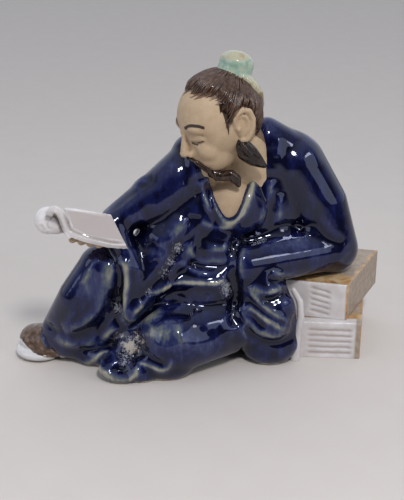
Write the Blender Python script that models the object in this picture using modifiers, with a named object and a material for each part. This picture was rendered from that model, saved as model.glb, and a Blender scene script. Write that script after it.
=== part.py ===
"""A mudman figurine: a scholar in a wide robe, seated on the ground, an arm on two books and a third in hand.

The real one is a single piece of glazed stoneware: clay pressed into a mould, with the folds of the robe
tooled into it, and a flat foot to stand on.
Sizes are in millimetres and turned to metres by MM. X runs to the viewer's right, Y away, Z up.
"""

import math

import bmesh
import bpy
import numpy as np
from mathutils import Euler, Matrix, Vector
from mathutils.bvhtree import BVHTree

MM = 0.001

# Fineness of the modelled clay, and how many triangles each part of it keeps
BODY_GRAIN = 0.9
HEAD_GRAIN = 0.5
BOOK_GRAIN = 0.7
BODY_TRIANGLES = 7600
HEAD_TRIANGLES = 2600
HELD_BOOK_TRIANGLES = 700
SHOE_TRIANGLES = 500

# The figure's pose: where its joints lie
HIP = Vector((12, 12, 20))
CHEST = Vector((20, 11, 62))
NECK = Vector((21, 10, 86))
LEFT_SHOULDER = Vector((38, 14, 80))
LEFT_ELBOW = Vector((55.4, 10, 44))
LEFT_HAND = Vector((18, -10, 44))
RIGHT_SHOULDER = Vector((-1, 3, 85.4))
RIGHT_ELBOW = Vector((-20, -5, 71.8))
RIGHT_WRIST = Vector((-36, -12, 64.2))
LEFT_KNEE = Vector((-12, -20.5, 14.5))
RIGHT_KNEE = Vector((-41.2, -14, 45))
HEEL = Vector((-60, -7, 8))
TOE = Vector((-73, -4, 7))

# The head: its middle, how far the face turns from the viewer and looks down, and its skull in its own axes
HEAD = Vector((8, 0, 104))
FACE_TURN = 62
FACE_TILT = 15
SKULL = ((1.2, 0, 2.2), (17, 15.3, 17.4))

# The topknot: the ends of its axis and its radius
KNOT_FOOT = Vector((12.6, 2.5, 121.5))
KNOT_TOP = Vector((14.2, 3.3, 128))
KNOT_RADIUS = 6.9

# The two books under the arm: front right corners, sizes (width, length, height), and turns of front and side
LOWER_BOOK_CORNER = (68.2, -10, 0)
LOWER_BOOK_SIZE = (44, 43, 17)
LOWER_BOOK_TURNS = (-4, 80)
UPPER_BOOK_CORNER = (61.8, -7, 17)
UPPER_BOOK_SIZE = (40, 43, 16.5)
UPPER_BOOK_TURNS = (-13, 64)
BOOK_EDGE = 0.9
BOOK_OVERLAP = 0.3
PAGE_LINES = 5
PAGE_LINE_DEPTH = 0.45
PAGE_MARGIN = 3

# The book in the hand: its front right corner, the size and turns of its page, and how far it leans back
HELD_BOOK_CORNER = Vector((-29.5, -27, 59.5))
HELD_PAGE_SIZE = (26, 16, 4)
HELD_PAGE_TURNS = (-8, 112)
HELD_PAGE_EDGE = 1.2
HELD_BOOK_LEAN = 22
HELD_BOOK_TILT = 6

# The folds are drawn on a sketch plane that faces this eye and passes through the point it looks at.
# The eye's height is an angle in degrees and its distance a length.
EYE_HEIGHT = 23
EYE_DISTANCE = 425
EYE_AIM = Vector((0, 0, 47))

# How softly the folds are tooled: their heights are multiplied by this and their widths divided by it
FOLD_SOFTNESS = 0.75

# How far below the ground the clay runs before its foot is cut flat, and the size of the block that cuts it
FOOT_CUT = 20
GROUND_BLOCK = 400


def clear_scene():
    for old in list(bpy.data.objects):
        bpy.data.objects.remove(old)


def ball(centre, radii, turn=(0, 0, 0)):
    """An ellipsoid of clay, turned by angles in degrees."""
    bpy.ops.mesh.primitive_uv_sphere_add(segments=24, ring_count=14, radius=1)
    made = bpy.context.object
    spin = Euler([math.radians(angle) for angle in turn]).to_matrix().to_4x4()
    size = Matrix.Diagonal((*(MM * r for r in radii), 1))
    made.data.transform(Matrix.Translation(Vector(centre) * MM) @ spin @ size)
    return made


def roll(*stations, step=2.5):
    """A roll of clay through stations of (centre, radii), laid as overlapping balls."""
    made = []
    for (start, start_radii), (end, end_radii) in zip(stations, stations[1:]):
        start, end = Vector(start), Vector(end)
        start_radii, end_radii = Vector(start_radii), Vector(end_radii)
        count = max(2, round((end - start).length / step))
        for place in range(count + 1):
            share = place / count
            made.append(ball(start.lerp(end, share), start_radii.lerp(end_radii, share)))
    return made


def strand(points, thickness, step=0.8):
    """A thin roll through points, thickest in its middle and drawn out at its ends."""
    count = len(points) - 1
    stations = []
    for place, point in enumerate(points):
        swell = 0.45 + 0.55 * math.sin(math.pi * place / count)
        stations.append((point, (thickness * swell,) * 3))
    return roll(*stations, step=step)


def slab(corner, size, turns, edge):
    """A box standing on its front right corner, with the turns of its front and its right side in degrees."""
    width, length, height = size
    front, side = (math.radians(turn) for turn in turns)
    bpy.ops.mesh.primitive_cube_add(size=1)
    made = bpy.context.object
    along_front = Vector((math.cos(front), math.sin(front), 0)) * width
    along_side = Vector((math.cos(side), math.sin(side), 0)) * length
    basis = Matrix((along_front, along_side, (0, 0, height))).transposed().to_4x4()
    made.data.transform(Matrix.Translation((-0.5, 0.5, 0.5)))
    made.data.transform(Matrix.Diagonal((MM, MM, MM, 1)) @ Matrix.Translation(corner) @ basis)
    rounding = made.modifiers.new("rounded edges", "BEVEL")
    rounding.width = edge * MM
    rounding.segments = 2
    return made


def applied(made):
    """The object with its modifiers worked into its mesh."""
    graph = bpy.context.evaluated_depsgraph_get()
    mesh = bpy.data.meshes.new_from_object(made.evaluated_get(graph))
    made.modifiers.clear()
    made.data = mesh
    return made


def fuse(name, pieces, grain, smoothing):
    """Joins pieces into one skin of clay, as a thumb smooths the seams."""
    whole = bmesh.new()
    for piece in pieces:
        whole.from_mesh(applied(piece).data)
        bpy.data.objects.remove(piece)
    mesh = bpy.data.meshes.new(name)
    whole.to_mesh(mesh)
    whole.free()
    made = bpy.data.objects.new(name, mesh)
    bpy.context.scene.collection.objects.link(made)
    skin = made.modifiers.new("one skin", "REMESH")
    skin.mode = "VOXEL"
    skin.voxel_size = grain * MM
    soften = made.modifiers.new("smoothed", "SMOOTH")
    soften.factor = 0.5
    soften.iterations = smoothing
    return applied(made)


def thin_out(made, triangles):
    """Thins the skin to a number of triangles."""
    made.data.calc_loop_triangles()
    fewer = made.modifiers.new("fewer triangles", "DECIMATE")
    fewer.ratio = triangles / len(made.data.loop_triangles)
    fewer.use_collapse_triangulate = True
    return applied(made)


def combine(made, other, operation):
    """Works another solid into the first one and removes it."""
    cut = made.modifiers.new(operation.lower(), "BOOLEAN")
    cut.operation = operation
    cut.object = other
    cut.solver = "EXACT"
    applied(made)
    bpy.data.objects.remove(other)
    return made


# Folds

def smooth_route(points, spacing=0.6):
    """A smooth line through points, as closely spaced points."""
    points = np.array(points, dtype=float)
    padded = np.vstack([2 * points[0] - points[1], points, 2 * points[-1] - points[-2]])
    route = []
    for before, start, end, after in zip(padded, padded[1:], padded[2:], padded[3:]):
        count = max(2, int(np.linalg.norm(end - start) / spacing))
        share = np.arange(count)[:, None] / count
        bend = 2 * before - 5 * start + 4 * end - after
        turn = 3 * start - before - 3 * end + after
        route.append(start + 0.5 * share * (end - before + share * (bend + share * turn)))
    route.append(points[-1:])
    return np.vstack(route)


def ridge(height, width, *points):
    """A rounded ridge along a line, or a groove where the height is negative."""
    return ("ridge", FOLD_SOFTNESS * height, width / FOLD_SOFTNESS, smooth_route(points))


def lap(height, width, *points):
    """An overlapping edge: raised on the left of the line as it is drawn, and falling away over the width."""
    return ("lap", height, width, smooth_route(points))


def dab(height, width, point):
    """A round swelling, or a dent where the height is negative."""
    return ("dab", height, width, np.array([point], dtype=float))


def right_arm_folds():
    return [
        # shoulder seam beside the collar
        ridge(0.7, 1.2, (-6, 44), (-5, 39), (-3.5, 34), (-3.5, 29)),
        ridge(-0.7, 1.3, (-10, 45), (-8.5, 38), (-7, 31), (-6, 24)),
        # pinch in the upper contour of the sleeve
        ridge(-1.4, 1.8, (-20, 31), (-24, 28.5), (-28, 26.5)),
        dab(1.2, 2.6, (-25, 30)),
        # long folds from the shoulder to the cuff
        ridge(0.5, 2.4, (-13, 38), (-18, 30), (-23, 25), (-30, 19.5), (-36, 16.5)),
        ridge(-0.9, 1.5, (-27, 24.5), (-31, 23), (-35, 19.5), (-40, 16.8)),
        ridge(-0.5, 2.0, (-12, 30), (-16, 24), (-21, 18), (-26, 15)),
        ridge(0.35, 1.5, (-14, 26), (-18, 21), (-22, 16)),
        # fold from the armpit down the inside of the sleeve
        ridge(1.2, 2.8, (-8, 14), (-10, 9), (-14, 5), (-20, 2.5)),
        ridge(0.9, 2.4, (-14, -1), (-18, -1.5), (-22, -2.5), (-21, -5)),
        ridge(-0.9, 2.2, (-12, 1), (-17, 0), (-24, 1)),
        ridge(-1.3, 2.5, (-24, 12), (-27, 6), (-28, 0)),
    ]


def hanging_sleeve_folds():
    return [
        # the cuff's front edge, its tip and its lower edge
        ridge(1.9, 1.3, (-37, -6), (-34.5, -5), (-32.3, -6.5), (-32, -12), (-32.6, -20), (-33.5, -28),
              (-32.5, -32)),
        ridge(1.7, 1.4, (-33, -31), (-30.5, -33.3), (-27, -32), (-22, -28.5), (-16, -25.2), (-10, -24.3),
              (-4, -22.6)),
        ridge(-1.5, 1.7, (-29.5, -8), (-29.8, -16), (-30.5, -25)),
        # second fold that crosses the lap
        ridge(1.0, 1.1, (-30, -28.5), (-26, -24), (-22, -19.5), (-18, -16.3), (-13, -14.3)),
        ridge(-1.3, 1.5, (-28, -30), (-23, -25.5), (-18, -21), (-12, -18.5), (-5, -19.5)),
        # deep valley between the sleeve and the belly
        ridge(-2.2, 2.0, (-3, 15), (-4.5, 9), (-9, 3), (-12.5, -4), (-16, -10), (-21, -16.5), (-26, -23)),
        ridge(1.5, 1.2, (-2.5, 13), (-3.6, 10), (-6, 6.5), (-9.5, 2.5)),
    ]


def collar_folds():
    return [
        # edge of the collar around the neck
        lap(1.6, 5.0, (23, 38), (19.5, 28), (16.5, 19), (13, 13.6),
            (10, 13.6), (7.5, 16.5), (4.8, 23), (3, 31)),
        # ridge that runs parallel to the collar
        ridge(1.1, 1.6, (25, 36), (21, 26), (18, 17.5), (12.5, 11.3), (6.5, 9.6), (1.5, 11.2), (-0.5, 13)),
        ridge(-1.0, 1.3, (3.5, 30), (2.6, 24), (5, 16.5), (9, 12.4)),
        ridge(0.9, 1.0, (-0.8, 30), (0.6, 23), (3.8, 15.5)),
        ridge(-0.8, 1.2, (-2.2, 27), (-1, 20), (1.5, 14.5)),
        # soft folds of the left breast
        ridge(1.3, 1.7, (28.5, 30), (28.5, 25), (26.5, 18), (24, 10.5)),
        ridge(-0.9, 1.8, (29.8, 24), (29.5, 16), (28, 9)),
        ridge(1.1, 1.7, (32.3, 24), (33, 17), (32.8, 11)),
        ridge(0.7, 1.3, (32.5, 49), (32, 44), (31, 39)),
        ridge(0.6, 1.4, (42, 46), (47, 41), (50, 35)),
    ]


def belly_folds():
    return [
        # sash bulge and the folds that hang from it
        ridge(-0.7, 1.6, (-0.5, 8), (1, 5.5), (5, 3.2), (10, 2.8), (14, 4)),
        ridge(1.0, 1.7, (-6, 3.5), (-4.5, -1.5), (-1, -4.4), (4, -4.8), (10, -4.4), (13, -1)),
        ridge(0.7, 1.4, (2, 0.6), (8, 0.4), (12.5, 1.8)),
        ridge(-0.8, 1.4, (-6, -4), (-2, -6.5), (4, -6.8), (10, -6.8)),
        ridge(0.9, 1.6, (-9, -4), (-5.5, -8), (0, -10.2), (6, -12)),
        dab(1.0, 2.4, (10.3, -8)),
        ridge(-0.8, 1.5, (-11, -8), (-6, -11), (0, -12.2), (7, -12.2)),
        # lap line
        ridge(1.3, 1.2, (-20, -19.5), (-14, -14.8), (-9, -13.8), (-2, -14), (4, -14.2), (10, -13.4)),
        ridge(-1.0, 2.0, (-13, -17.5), (-5, -17), (3, -17.5), (9, -19)),
        ridge(0.9, 1.6, (-20, -24.5), (-13, -22.5), (-6, -22.8), (1, -22), (6, -20)),
        dab(-0.8, 2.4, (10, -16.5)),
    ]


def left_knee_folds():
    return [
        ridge(-1.2, 1.6, (-22, -31.5), (-15, -27), (-9, -26.5), (-4, -27.5)),
        ridge(1.0, 2.0, (-11, -31), (-9.5, -37), (-8, -43)),
        ridge(-0.8, 2.6, (-5, -33), (2, -36), (9, -35)),
        # hem over the knee
        ridge(1.5, 1.2, (-28, -48), (-23, -48.6), (-18, -50.4), (-14.5, -49.8), (-12, -46)),
        ridge(-1.2, 1.5, (-23, -45.5), (-18.5, -47.8), (-15, -47.3)),
        # hollow between the knee and the right leg
        ridge(-1.6, 3.0, (-24, -36), (-25.5, -41), (-25, -46)),
    ]


def right_leg_folds():
    return [
        # pool of cloth between the legs
        ridge(-1.8, 1.8, (-35, -9), (-35.6, -18), (-36, -27), (-36, -33)),
        ridge(1.5, 1.9, (-39, -3), (-39.4, -11), (-40.5, -19), (-44.5, -26.5), (-51, -31), (-59, -33.5)),
        ridge(-2.2, 2.2, (-38, -16), (-40.5, -25), (-44.5, -31.5), (-50, -35.5), (-56, -37)),
        ridge(1.0, 1.0, (-44, -3), (-47.5, -9), (-51, -15)),
        ridge(0.8, 1.0, (-54, -25), (-56, -29), (-59.5, -32)),
        ridge(1.5, 1.3, (-62, -36), (-58, -39), (-52, -39.6), (-46, -38.5), (-40, -35.5), (-36, -32)),
        ridge(1.3, 1.1, (-50, -41), (-44, -40), (-38, -37)),
        ridge(-1.6, 1.3, (-52, -42), (-46, -42), (-40, -40.6), (-36, -38.5)),
        # dropped hem, with its loop and the pocket in front
        ridge(1.7, 1.1, (-62, -45), (-57, -47), (-50, -47.8), (-45.5, -46), (-42, -43.4), (-38, -43.6),
              (-36.2, -46)),
        ridge(1.8, 1.2, (-41, -47), (-43.6, -48), (-42.8, -50.5), (-38, -54), (-33, -54.8), (-28.5, -53),
              (-27.5, -49)),
        ridge(-3.2, 2.2, (-38, -49), (-35, -50.8), (-31, -50.8)),
        ridge(-1.6, 2.2, (-33, -36), (-31.5, -41), (-31.5, -46)),
        # hem at the shoe
        lap(1.6, 4.0, (-62.5, -46), (-64.3, -42), (-67, -37), (-70.5, -32)),
        ridge(-1.0, 1.0, (-67.5, -29.5), (-64, -33), (-60.5, -35.5)),
    ]


def forearm_folds():
    return [
        # crook of the arm, above the forearm
        ridge(-1.6, 1.6, (16, 5.5), (22, 5), (28, 7.2), (35, 10.2), (42, 10), (48, 9.8), (53, 5), (60, 1.8)),
        ridge(1.0, 1.7, (24, 1), (31, 4), (39, 6.3), (47, 6)),
        ridge(-1.0, 1.5, (61, 1), (63.5, -1.5), (60, -6), (55, -9.5)),
        # dark gap between the belly and the cuff
        ridge(-2.6, 1.7, (14.5, 6), (13.6, 1), (13.2, -6), (13.4, -13),
              (14.5, -19), (13.6, -26), (14.3, -33)),
        ridge(1.0, 1.3, (18.5, 1), (16.8, -4), (16.5, -9), (18, -13)),
        # lower edge of the forearm
        ridge(-2.0, 1.4, (28, -12), (33, -12.6), (39, -11.7)),
        ridge(1.2, 1.2, (29, -10.2), (34, -10.3), (40, -10)),
    ]


def left_sleeve_folds():
    return [
        ridge(1.5, 1.5, (20.5, -15), (24, -17), (28, -17.8), (34, -16.5)),
        ridge(-2.0, 1.6, (24, -21), (29, -21.5), (34, -19), (40, -15.6)),
        dab(1.3, 4.5, (36.5, -22)),
        ridge(1.9, 1.4, (20, -15.5), (23, -21), (27.5, -25.5), (32, -28.5), (36.5, -30.5)),
        ridge(-2.2, 1.3, (19.5, -20.5), (25, -25.5), (30, -29), (35, -31.8)),
        ridge(1.7, 1.3, (19.5, -23), (25.5, -28), (30.5, -31), (35.5, -34)),
        ridge(-1.4, 1.4, (20.5, -25.5), (23.5, -30.5), (26.5, -34)),
        ridge(1.7, 2.0, (16, -23), (18.5, -29), (23, -34.5), (29, -36), (34.5, -35.6)),
        ridge(-2.3, 1.8, (18.3, -31.5), (22, -36.5), (28, -39.3), (35, -39), (39.5, -35), (41, -27)),
        ridge(1.3, 1.2, (16.8, -31), (18.3, -36), (23, -40)),
        ridge(1.1, 1.3, (42, -17), (42.6, -24), (41.6, -31), (40.4, -38), (39, -43)),
        ridge(-1.2, 2.0, (13, -36), (14.5, -41), (15.5, -44)),
    ]


def back_folds():
    """Broad plain folds of the back, drawn on the sketch plane of an eye behind the figure."""
    return [
        ridge(1.2, 3.0, (-44, 42), (-36, 22), (-18, 4), (4, -6)),
        ridge(-1.2, 3.2, (-30, 44), (-22, 22), (-8, 2), (10, -14)),
        ridge(1.1, 2.8, (-6, 40), (-4, 20), (2, 0), (12, -22)),
        ridge(-1.1, 3.0, (2, 34), (6, 16), (16, 0), (30, -14)),
        ridge(1.2, 2.6, (-40, -8), (-20, -18), (4, -24), (28, -26)),
        ridge(-1.3, 2.6, (-36, -18), (-14, -28), (10, -33), (34, -34)),
        lap(-1.2, 3.5, (-26, 52), (-14, 47), (-2, 46)),
    ]


def sketch_axes(turn):
    """The right, forward and up directions of the eye, turned about Z by an angle in degrees."""
    rise = math.radians(EYE_HEIGHT)
    around = Matrix.Rotation(math.radians(turn), 3, "Z")
    forward = around @ Vector((0, math.cos(rise), -math.sin(rise)))
    up = around @ Vector((0, math.sin(rise), math.cos(rise)))
    right = around @ Vector((1, 0, 0))
    return np.array(right), np.array(forward), np.array(up)


def mesh_points(mesh):
    points = np.empty(len(mesh.vertices) * 3)
    mesh.vertices.foreach_get("co", points)
    return points.reshape(-1, 3) / MM


def mesh_normals(mesh):
    normals = np.empty(len(mesh.vertices) * 3)
    mesh.vertex_normals.foreach_get("vector", normals)
    return normals.reshape(-1, 3)


def seen_from(eye, points, normals, mesh):
    """How openly each point faces the eye, 0 where it is turned away or hidden."""
    corners = [Vector(v.co) / MM for v in mesh.vertices]
    tree = BVHTree.FromPolygons(corners, [p.vertices for p in mesh.polygons])
    ways = eye - points
    ways /= np.linalg.norm(ways, axis=1)[:, None]
    facing = np.clip((np.einsum("ij,ij->i", ways, normals) - 0.02) / 0.3, 0, 1)
    for place in np.flatnonzero(facing > 0):
        start = Vector(points[place] + 1.5 * normals[place])
        if tree.ray_cast(start, Vector(ways[place]))[0] is not None:
            facing[place] = 0
    return facing


def fold_height(folds, places):
    """The height of all folds at places on the sketch plane."""
    total = np.zeros(len(places))
    for kind, height, width, route in folds:
        low, high = route.min(axis=0) - 3 * width, route.max(axis=0) + 3 * width
        near = np.flatnonzero(np.all((places > low) & (places < high), axis=1))
        if not len(near):
            continue
        gaps = places[near][:, None, :] - route[None, :, :]
        spans = np.einsum("ijk,ijk->ij", gaps, gaps)
        closest = spans.argmin(axis=1)
        span = np.sqrt(spans[np.arange(len(near)), closest])
        if kind == "lap":
            along = np.gradient(route, axis=0)[closest]
            gap = gaps[np.arange(len(near)), closest]
            side = np.sign(along[:, 0] * gap[:, 1] - along[:, 1] * gap[:, 0]) * span
            shape = np.clip(0.5 + side / 0.9, 0, 1) * np.exp(-np.clip(side, 0, None) / width)
        else:
            shape = np.exp(-(span / width) ** 2)
        if kind != "dab":
            length = len(route) - 1
            ends = np.minimum(closest, length - closest) / min(length / 3, 8)
            shape = shape * np.sqrt(np.clip(ends, 0, 1))
        total[near] += height * shape
    return total


def tool_folds(made, folds, turn=0):
    """Tools folds into the clay along its own normals, where the eye sees it."""
    mesh = made.data
    right, forward, up = sketch_axes(turn)
    eye = np.array(EYE_AIM) - forward * EYE_DISTANCE
    points, normals = mesh_points(mesh), mesh_normals(mesh)
    depth = (points - eye) @ forward
    sketch = np.stack([(points - eye) @ right, (points - eye) @ up], axis=1) * (EYE_DISTANCE / depth)[:, None]
    lift = fold_height(folds, sketch) * seen_from(eye, points, normals, mesh)
    mesh.vertices.foreach_set("co", ((points + normals * lift[:, None]) * MM).ravel())
    mesh.update()
    return made


# Parts

def robe_masses():
    clay = []
    # seat and trunk
    clay += roll((HIP, (33, 20, 22)), (CHEST, (24, 15, 17)), (NECK + Vector((5, 3, 0)), (14, 11, 13)))
    clay += [ball((4, -3, 50), (14, 10, 13)), ball((13, -1, 66), (13, 9, 14))]
    # the back of the robe: its middle, its left and right flanks, and its hem on the ground
    back = [
        [((24, 13, 82), (19, 13, 17)), ((16, 15, 56), (28, 14, 20)), ((8, 14, 30), (32, 17, 20))],
        [((37, 15, 74), (15, 12, 16)), ((38, 16, 48), (15, 13, 16)), ((36, 16, 24), (14, 14, 14))],
        [((-2, 7, 76), (13, 11, 14)), ((-14, 7, 42), (18, 13, 18)), ((-24, 6, 16), (20, 14, 14))],
        [((-38, -7, 38), (11, 11, 12)), ((-40, -1, 14), (18, 13, 14))],
        [((-46, 0, 3), (14, 12, 9)), ((-20, 10, 6), (22, 13, 12)), ((26, 17, 6), (26, 15, 14))],
    ]
    for stations in back:
        clay += roll(*stations, step=5)
    # the collar standing behind the neck
    clay += roll(((27, 12, 91.5), (8, 9, 10.2)), ((36, 13, 86), (9, 9, 10)))
    # left arm, bent, with the forearm on the books
    upper_arm = ((49, 12, 63), (13.5, 12, 13))
    clay += roll((LEFT_SHOULDER, (14.5, 13, 14.5)), upper_arm, (LEFT_ELBOW, (12.5, 12, 11)))
    clay += roll((LEFT_ELBOW, (12, 11, 10)), (LEFT_HAND, (8, 8, 9)))
    # left sleeve, hanging in front of the books
    clay += roll(((23, -10, 36), (12, 8, 11)), ((27, -12, 22), (13, 9, 12)), ((29, -9, 7), (12.4, 10, 9)))
    # right arm, reaching out
    clay += roll((RIGHT_SHOULDER, (12, 11, 11)), (RIGHT_ELBOW, (10, 10, 9.5)), (RIGHT_WRIST, (7, 8, 6.5)))
    clay += [ball((-3, 4, 87.5), (10, 9, 10)), ball((-24.5, -5, 77), (4.5, 6, 3.5), (0, -30, 0))]
    # right sleeve, hanging from the forearm
    clay += roll(
        ((-4, -2, 66), (13, 9, 12)),
        ((-16, -10, 51), (13, 8, 13)),
        ((-24, -16, 38), (8, 7, 9)),
        ((-29, -22, 28), (3, 4, 4)),
    )
    clay += roll((RIGHT_WRIST, (6, 7, 6)), ((-28, -17, 46), (5, 7, 6)), ((-29, -22, 28), (3, 4, 4)))
    # right leg, knee up, under the robe
    right_hip = HIP + Vector((-8, -4, 8))
    clay += roll((right_hip, (16, 15, 15)), ((-20, -6, 36), (14, 12, 12)), (RIGHT_KNEE, (10, 9.5, 10)))
    shin = [((-47.3, -13, 30), (13.2, 11, 12.5)), ((-55, -7, 12), (14.5, 11, 12))]
    clay += roll((RIGHT_KNEE, (10, 9.5, 9.5)), *shin)
    clay += roll(((-36, -6, 22), (14, 14, 16)), ((-20, -4, 20), (16, 14, 16)))
    # left leg, lying on the ground
    left_hip = HIP + Vector((10, -4, -2))
    clay += roll((left_hip, (15, 14, 15)), ((8, -9.5, 17), (15, 13, 14)), (LEFT_KNEE, (15, 13, 14)))
    # lap and hem
    clay += [ball((0, -5, 36), (22, 14, 12)), ball((-38, -9, 6), (22, 10.5, 8))]
    clay += [ball((-33, -24, 4), (10, 8.5, 6)), ball((-25, -24.5, 4), (8, 8, 6))]
    clay += [ball((-28, -18.5, 10), (10, 8, 9)), ball((-15, -23.5, 8), (13, 8.5, 10))]
    return clay


def robe():
    made = fuse("robe", robe_masses(), BODY_GRAIN, 14)
    folds = right_arm_folds() + hanging_sleeve_folds() + collar_folds() + belly_folds() + left_knee_folds()
    folds += right_leg_folds() + forearm_folds() + left_sleeve_folds()
    tool_folds(made, folds)
    tool_folds(made, back_folds(), 180)
    return thin_out(made, BODY_TRIANGLES)


def book(corner, size, turns, sunk):
    """A thin-leaved book, sunk into what it lies on: a slab with fine lines cut along its front."""
    width, length, height = size
    made = slab(Vector(corner) - Vector((0, 0, sunk)), (width, length, height + sunk), turns, BOOK_EDGE)
    applied(made)
    front = math.radians(turns[0])
    reach = Vector((math.cos(front), math.sin(front), 0)) * (-width / 2 - 1)
    for line in range(PAGE_LINES):
        level = height * (0.2 + 0.6 * line / (PAGE_LINES - 1))
        line_length = width - 2 * PAGE_MARGIN
        bpy.ops.mesh.primitive_cylinder_add(vertices=4, radius=PAGE_LINE_DEPTH * MM, depth=line_length * MM)
        groove = bpy.context.object
        turn = Matrix.Rotation(front, 4, "Z") @ Matrix.Rotation(math.radians(90), 4, "Y")
        place = Matrix.Translation((Vector(corner) + reach + Vector((0, 0, level))) * MM)
        groove.data.transform(place @ turn)
        combine(made, groove, "DIFFERENCE")
    return made


def head_frame():
    """Carries the head's own axes (forward, to its left, up) to the part's."""
    look = Euler((0, math.radians(FACE_TILT), math.radians(-90 - FACE_TURN))).to_matrix().to_4x4()
    return Matrix.Translation(HEAD * MM) @ look


def both_sides(make, centre, *rest):
    """The same form on the left and the right of the face."""
    forward, side, up = centre
    return [make((forward, side, up), *rest), make((forward, -side, up), *rest)]


def head_masses():
    """The head without its features: skull, jaw, chin, brow and cheeks."""
    clay = [ball(*SKULL), ball((7, 0, -8), (10.6, 10.8, 12)), ball((12.4, 0, -16.6), (4.7, 5.4, 4))]
    clay += both_sides(ball, (10.4, 6, -6), (6, 5, 6))
    clay += both_sides(ball, (13.2, 4.4, 3.4), (4.6, 5.4, 3.4))
    return clay


def feature_masses():
    """The nose and the ears."""
    tip = ((19, 0, -6.2), (1.9, 1.9, 1.8))
    clay = roll(((16.6, 0, 3.4), (1.6, 1.8, 2)), ((18, 0, -2), (1.6, 1.5, 1.8)), tip, step=0.8)
    clay += [ball((19.4, 0, -7), (1.9, 2.0, 1.7))] + both_sides(ball, (17.5, 2.4, -7.5), (1.7, 1.4, 1.4))
    for side in (1, -1):
        rim = [(1.7, 15, 1.6), (2.0, 15.8, 4.6), (0.8, 16.7, 7.1), (-1.8, 17.4, 8.1), (-4.1, 17.7, 6.4),
               (-4.9, 17.6, 2.9), (-4.2, 17.2, -0.6), (-2.9, 16.5, -3.2), (-1.2, 15.8, -4.9), (0.3, 15, -4.6)]
        clay += roll(*(((forward, out * side, up), (1.15,) * 3) for forward, out, up in rim), step=0.6)
        fold = [(0.2, 16, 5.6), (-2.2, 16.8, 5.2), (-3, 16.8, 2.6), (-2.4, 16.4, -0.4), (-1, 15.8, -2)]
        clay += roll(*(((forward, out * side, up), (0.75,) * 3) for forward, out, up in fold), step=0.5)
        clay += [ball((-1.2, 15.2 * side, 1.8), (3.4, 1.4, 6))]
        clay += [ball((1.3, 15.8 * side, 0.4), (0.9, 1.1, 1.3))]
    return clay


def face_lines():
    """Lines pressed into the face or raised on it, each as (points, width, height)."""
    lines = [
        # lips, the line between them, the groove above and the dent below
        ([(17, -3.2, -12.3), (18.2, -1.2, -11.9), (18.4, 0, -12.1), (18.2, 1.2, -11.9), (17, 3.2, -12.3)],
         0.75, 0.55),
        ([(17, -2.6, -14), (18, 0, -14.4), (17, 2.6, -14)], 0.95, 0.65),
        ([(17, -3.7, -13), (18.4, 0, -13.1), (17, 3.7, -13)], 0.45, -0.6),
        ([(18.4, 0, -9.8), (18.3, 0, -11.2)], 0.6, -0.3),
        ([(17.4, -2, -16), (17.4, 2, -16)], 1.1, -0.4),
    ]
    for side in (1, -1):
        lines += [
            # eye socket, lid, crease over the lid, line of the lashes and lower lid
            ([(16.9, 2.8 * side, -0.6), (16.2, 6 * side, -0.4), (14.2, 9 * side, -0.8)], 2.6, -1.1),
            ([(17, 3.4 * side, -0.8), (16.3, 6 * side, -0.6), (14.4, 8.8 * side, -1)], 1.5, 1.0),
            ([(17, 3 * side, 1.2), (16.4, 6 * side, 1.9), (14.2, 9.2 * side, 1)], 0.6, -0.45),
            ([(17, 3 * side, -1.8), (16.3, 6 * side, -2.5), (14.4, 9 * side, -1.8)], 0.5, -0.5),
            ([(17, 3.6 * side, -3.2), (16.3, 6 * side, -3.9), (14.6, 8.6 * side, -3.2)], 0.9, 0.3),
            # nostril, crease beside the mouth
            ([(19, 1.1 * side, -8.8), (18.2, 1.7 * side, -8.9)], 0.5, -0.45),
            ([(17.6, 3.7 * side, -7.4), (16.8, 5 * side, -9.8), (16, 5.4 * side, -12)], 0.9, -0.3),
        ]
    return lines


def hair_masses():
    """Hair combed back over the crown, a sideburn before each ear, and the cloth that falls behind."""
    clay = [ball((-0.4, 0, 4.1), (16.4, 16.4, 16.7))]
    for side in (1, -1):
        sideburn = [(4.2, 14.4 * side, 10), (4.4, 15 * side, 5), (4.6, 15 * side, 1), (4.6, 14.6 * side, -3)]
        clay += strand(sideburn, 1.7)
    cloth = [((-11, 0, 16.5), (2, 6, 2)), ((-15, 0, 10.5), (2, 5.5, 2)), ((-16.8, 0, 3), (1.8, 4, 2))]
    clay += roll(*cloth, ((-15.5, 0, -7), (1.5, 3.5, 2)), step=1)
    return clay


def beard_masses():
    """The moustache, in the head's own axes."""
    clay = []
    for side in (1, -1):
        half = [(18.5, 0.8 * side, -9.3), (17, 4 * side, -11), (14.2, 6.8 * side, -15), (12, 7.6 * side, -20)]
        clay += strand(half, 1.3)
    return clay


def loose_hair():
    """The beard, swept to one side like a bow, and the loose lock below the ear."""
    clay = roll(
        ((1.5, -5.5, 86.5), (1.8, 1.8, 1.8)),
        ((4, -7.5, 84.2), (2.2, 2, 2.2)),
        ((8, -8.6, 82.8), (2.2, 2, 2.1)),
        ((11.5, -8.8, 83.4), (2.4, 2, 2.4)),
        ((13.8, -8.6, 81.6), (2.1, 1.8, 2.3)),
        ((14.8, -8.4, 79.2), (1, 1, 1.2)),
        step=1,
    )
    clay += roll(
        ((15.2, -12, 99.5), (1.4, 1.3, 1.8)),
        ((16.4, -12, 96.6), (3.1, 2.2, 2.8)),
        ((18.1, -11.6, 93.5), (4.3, 2.7, 3.5)),
        ((20.6, -10.5, 90.8), (3.6, 2.4, 2.9)),
        ((23.2, -9.2, 88.6), (2.1, 1.8, 1.8)),
        ((25, -8.2, 87.2), (1.1, 1, 1.1)),
        step=1,
    )
    return clay


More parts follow.
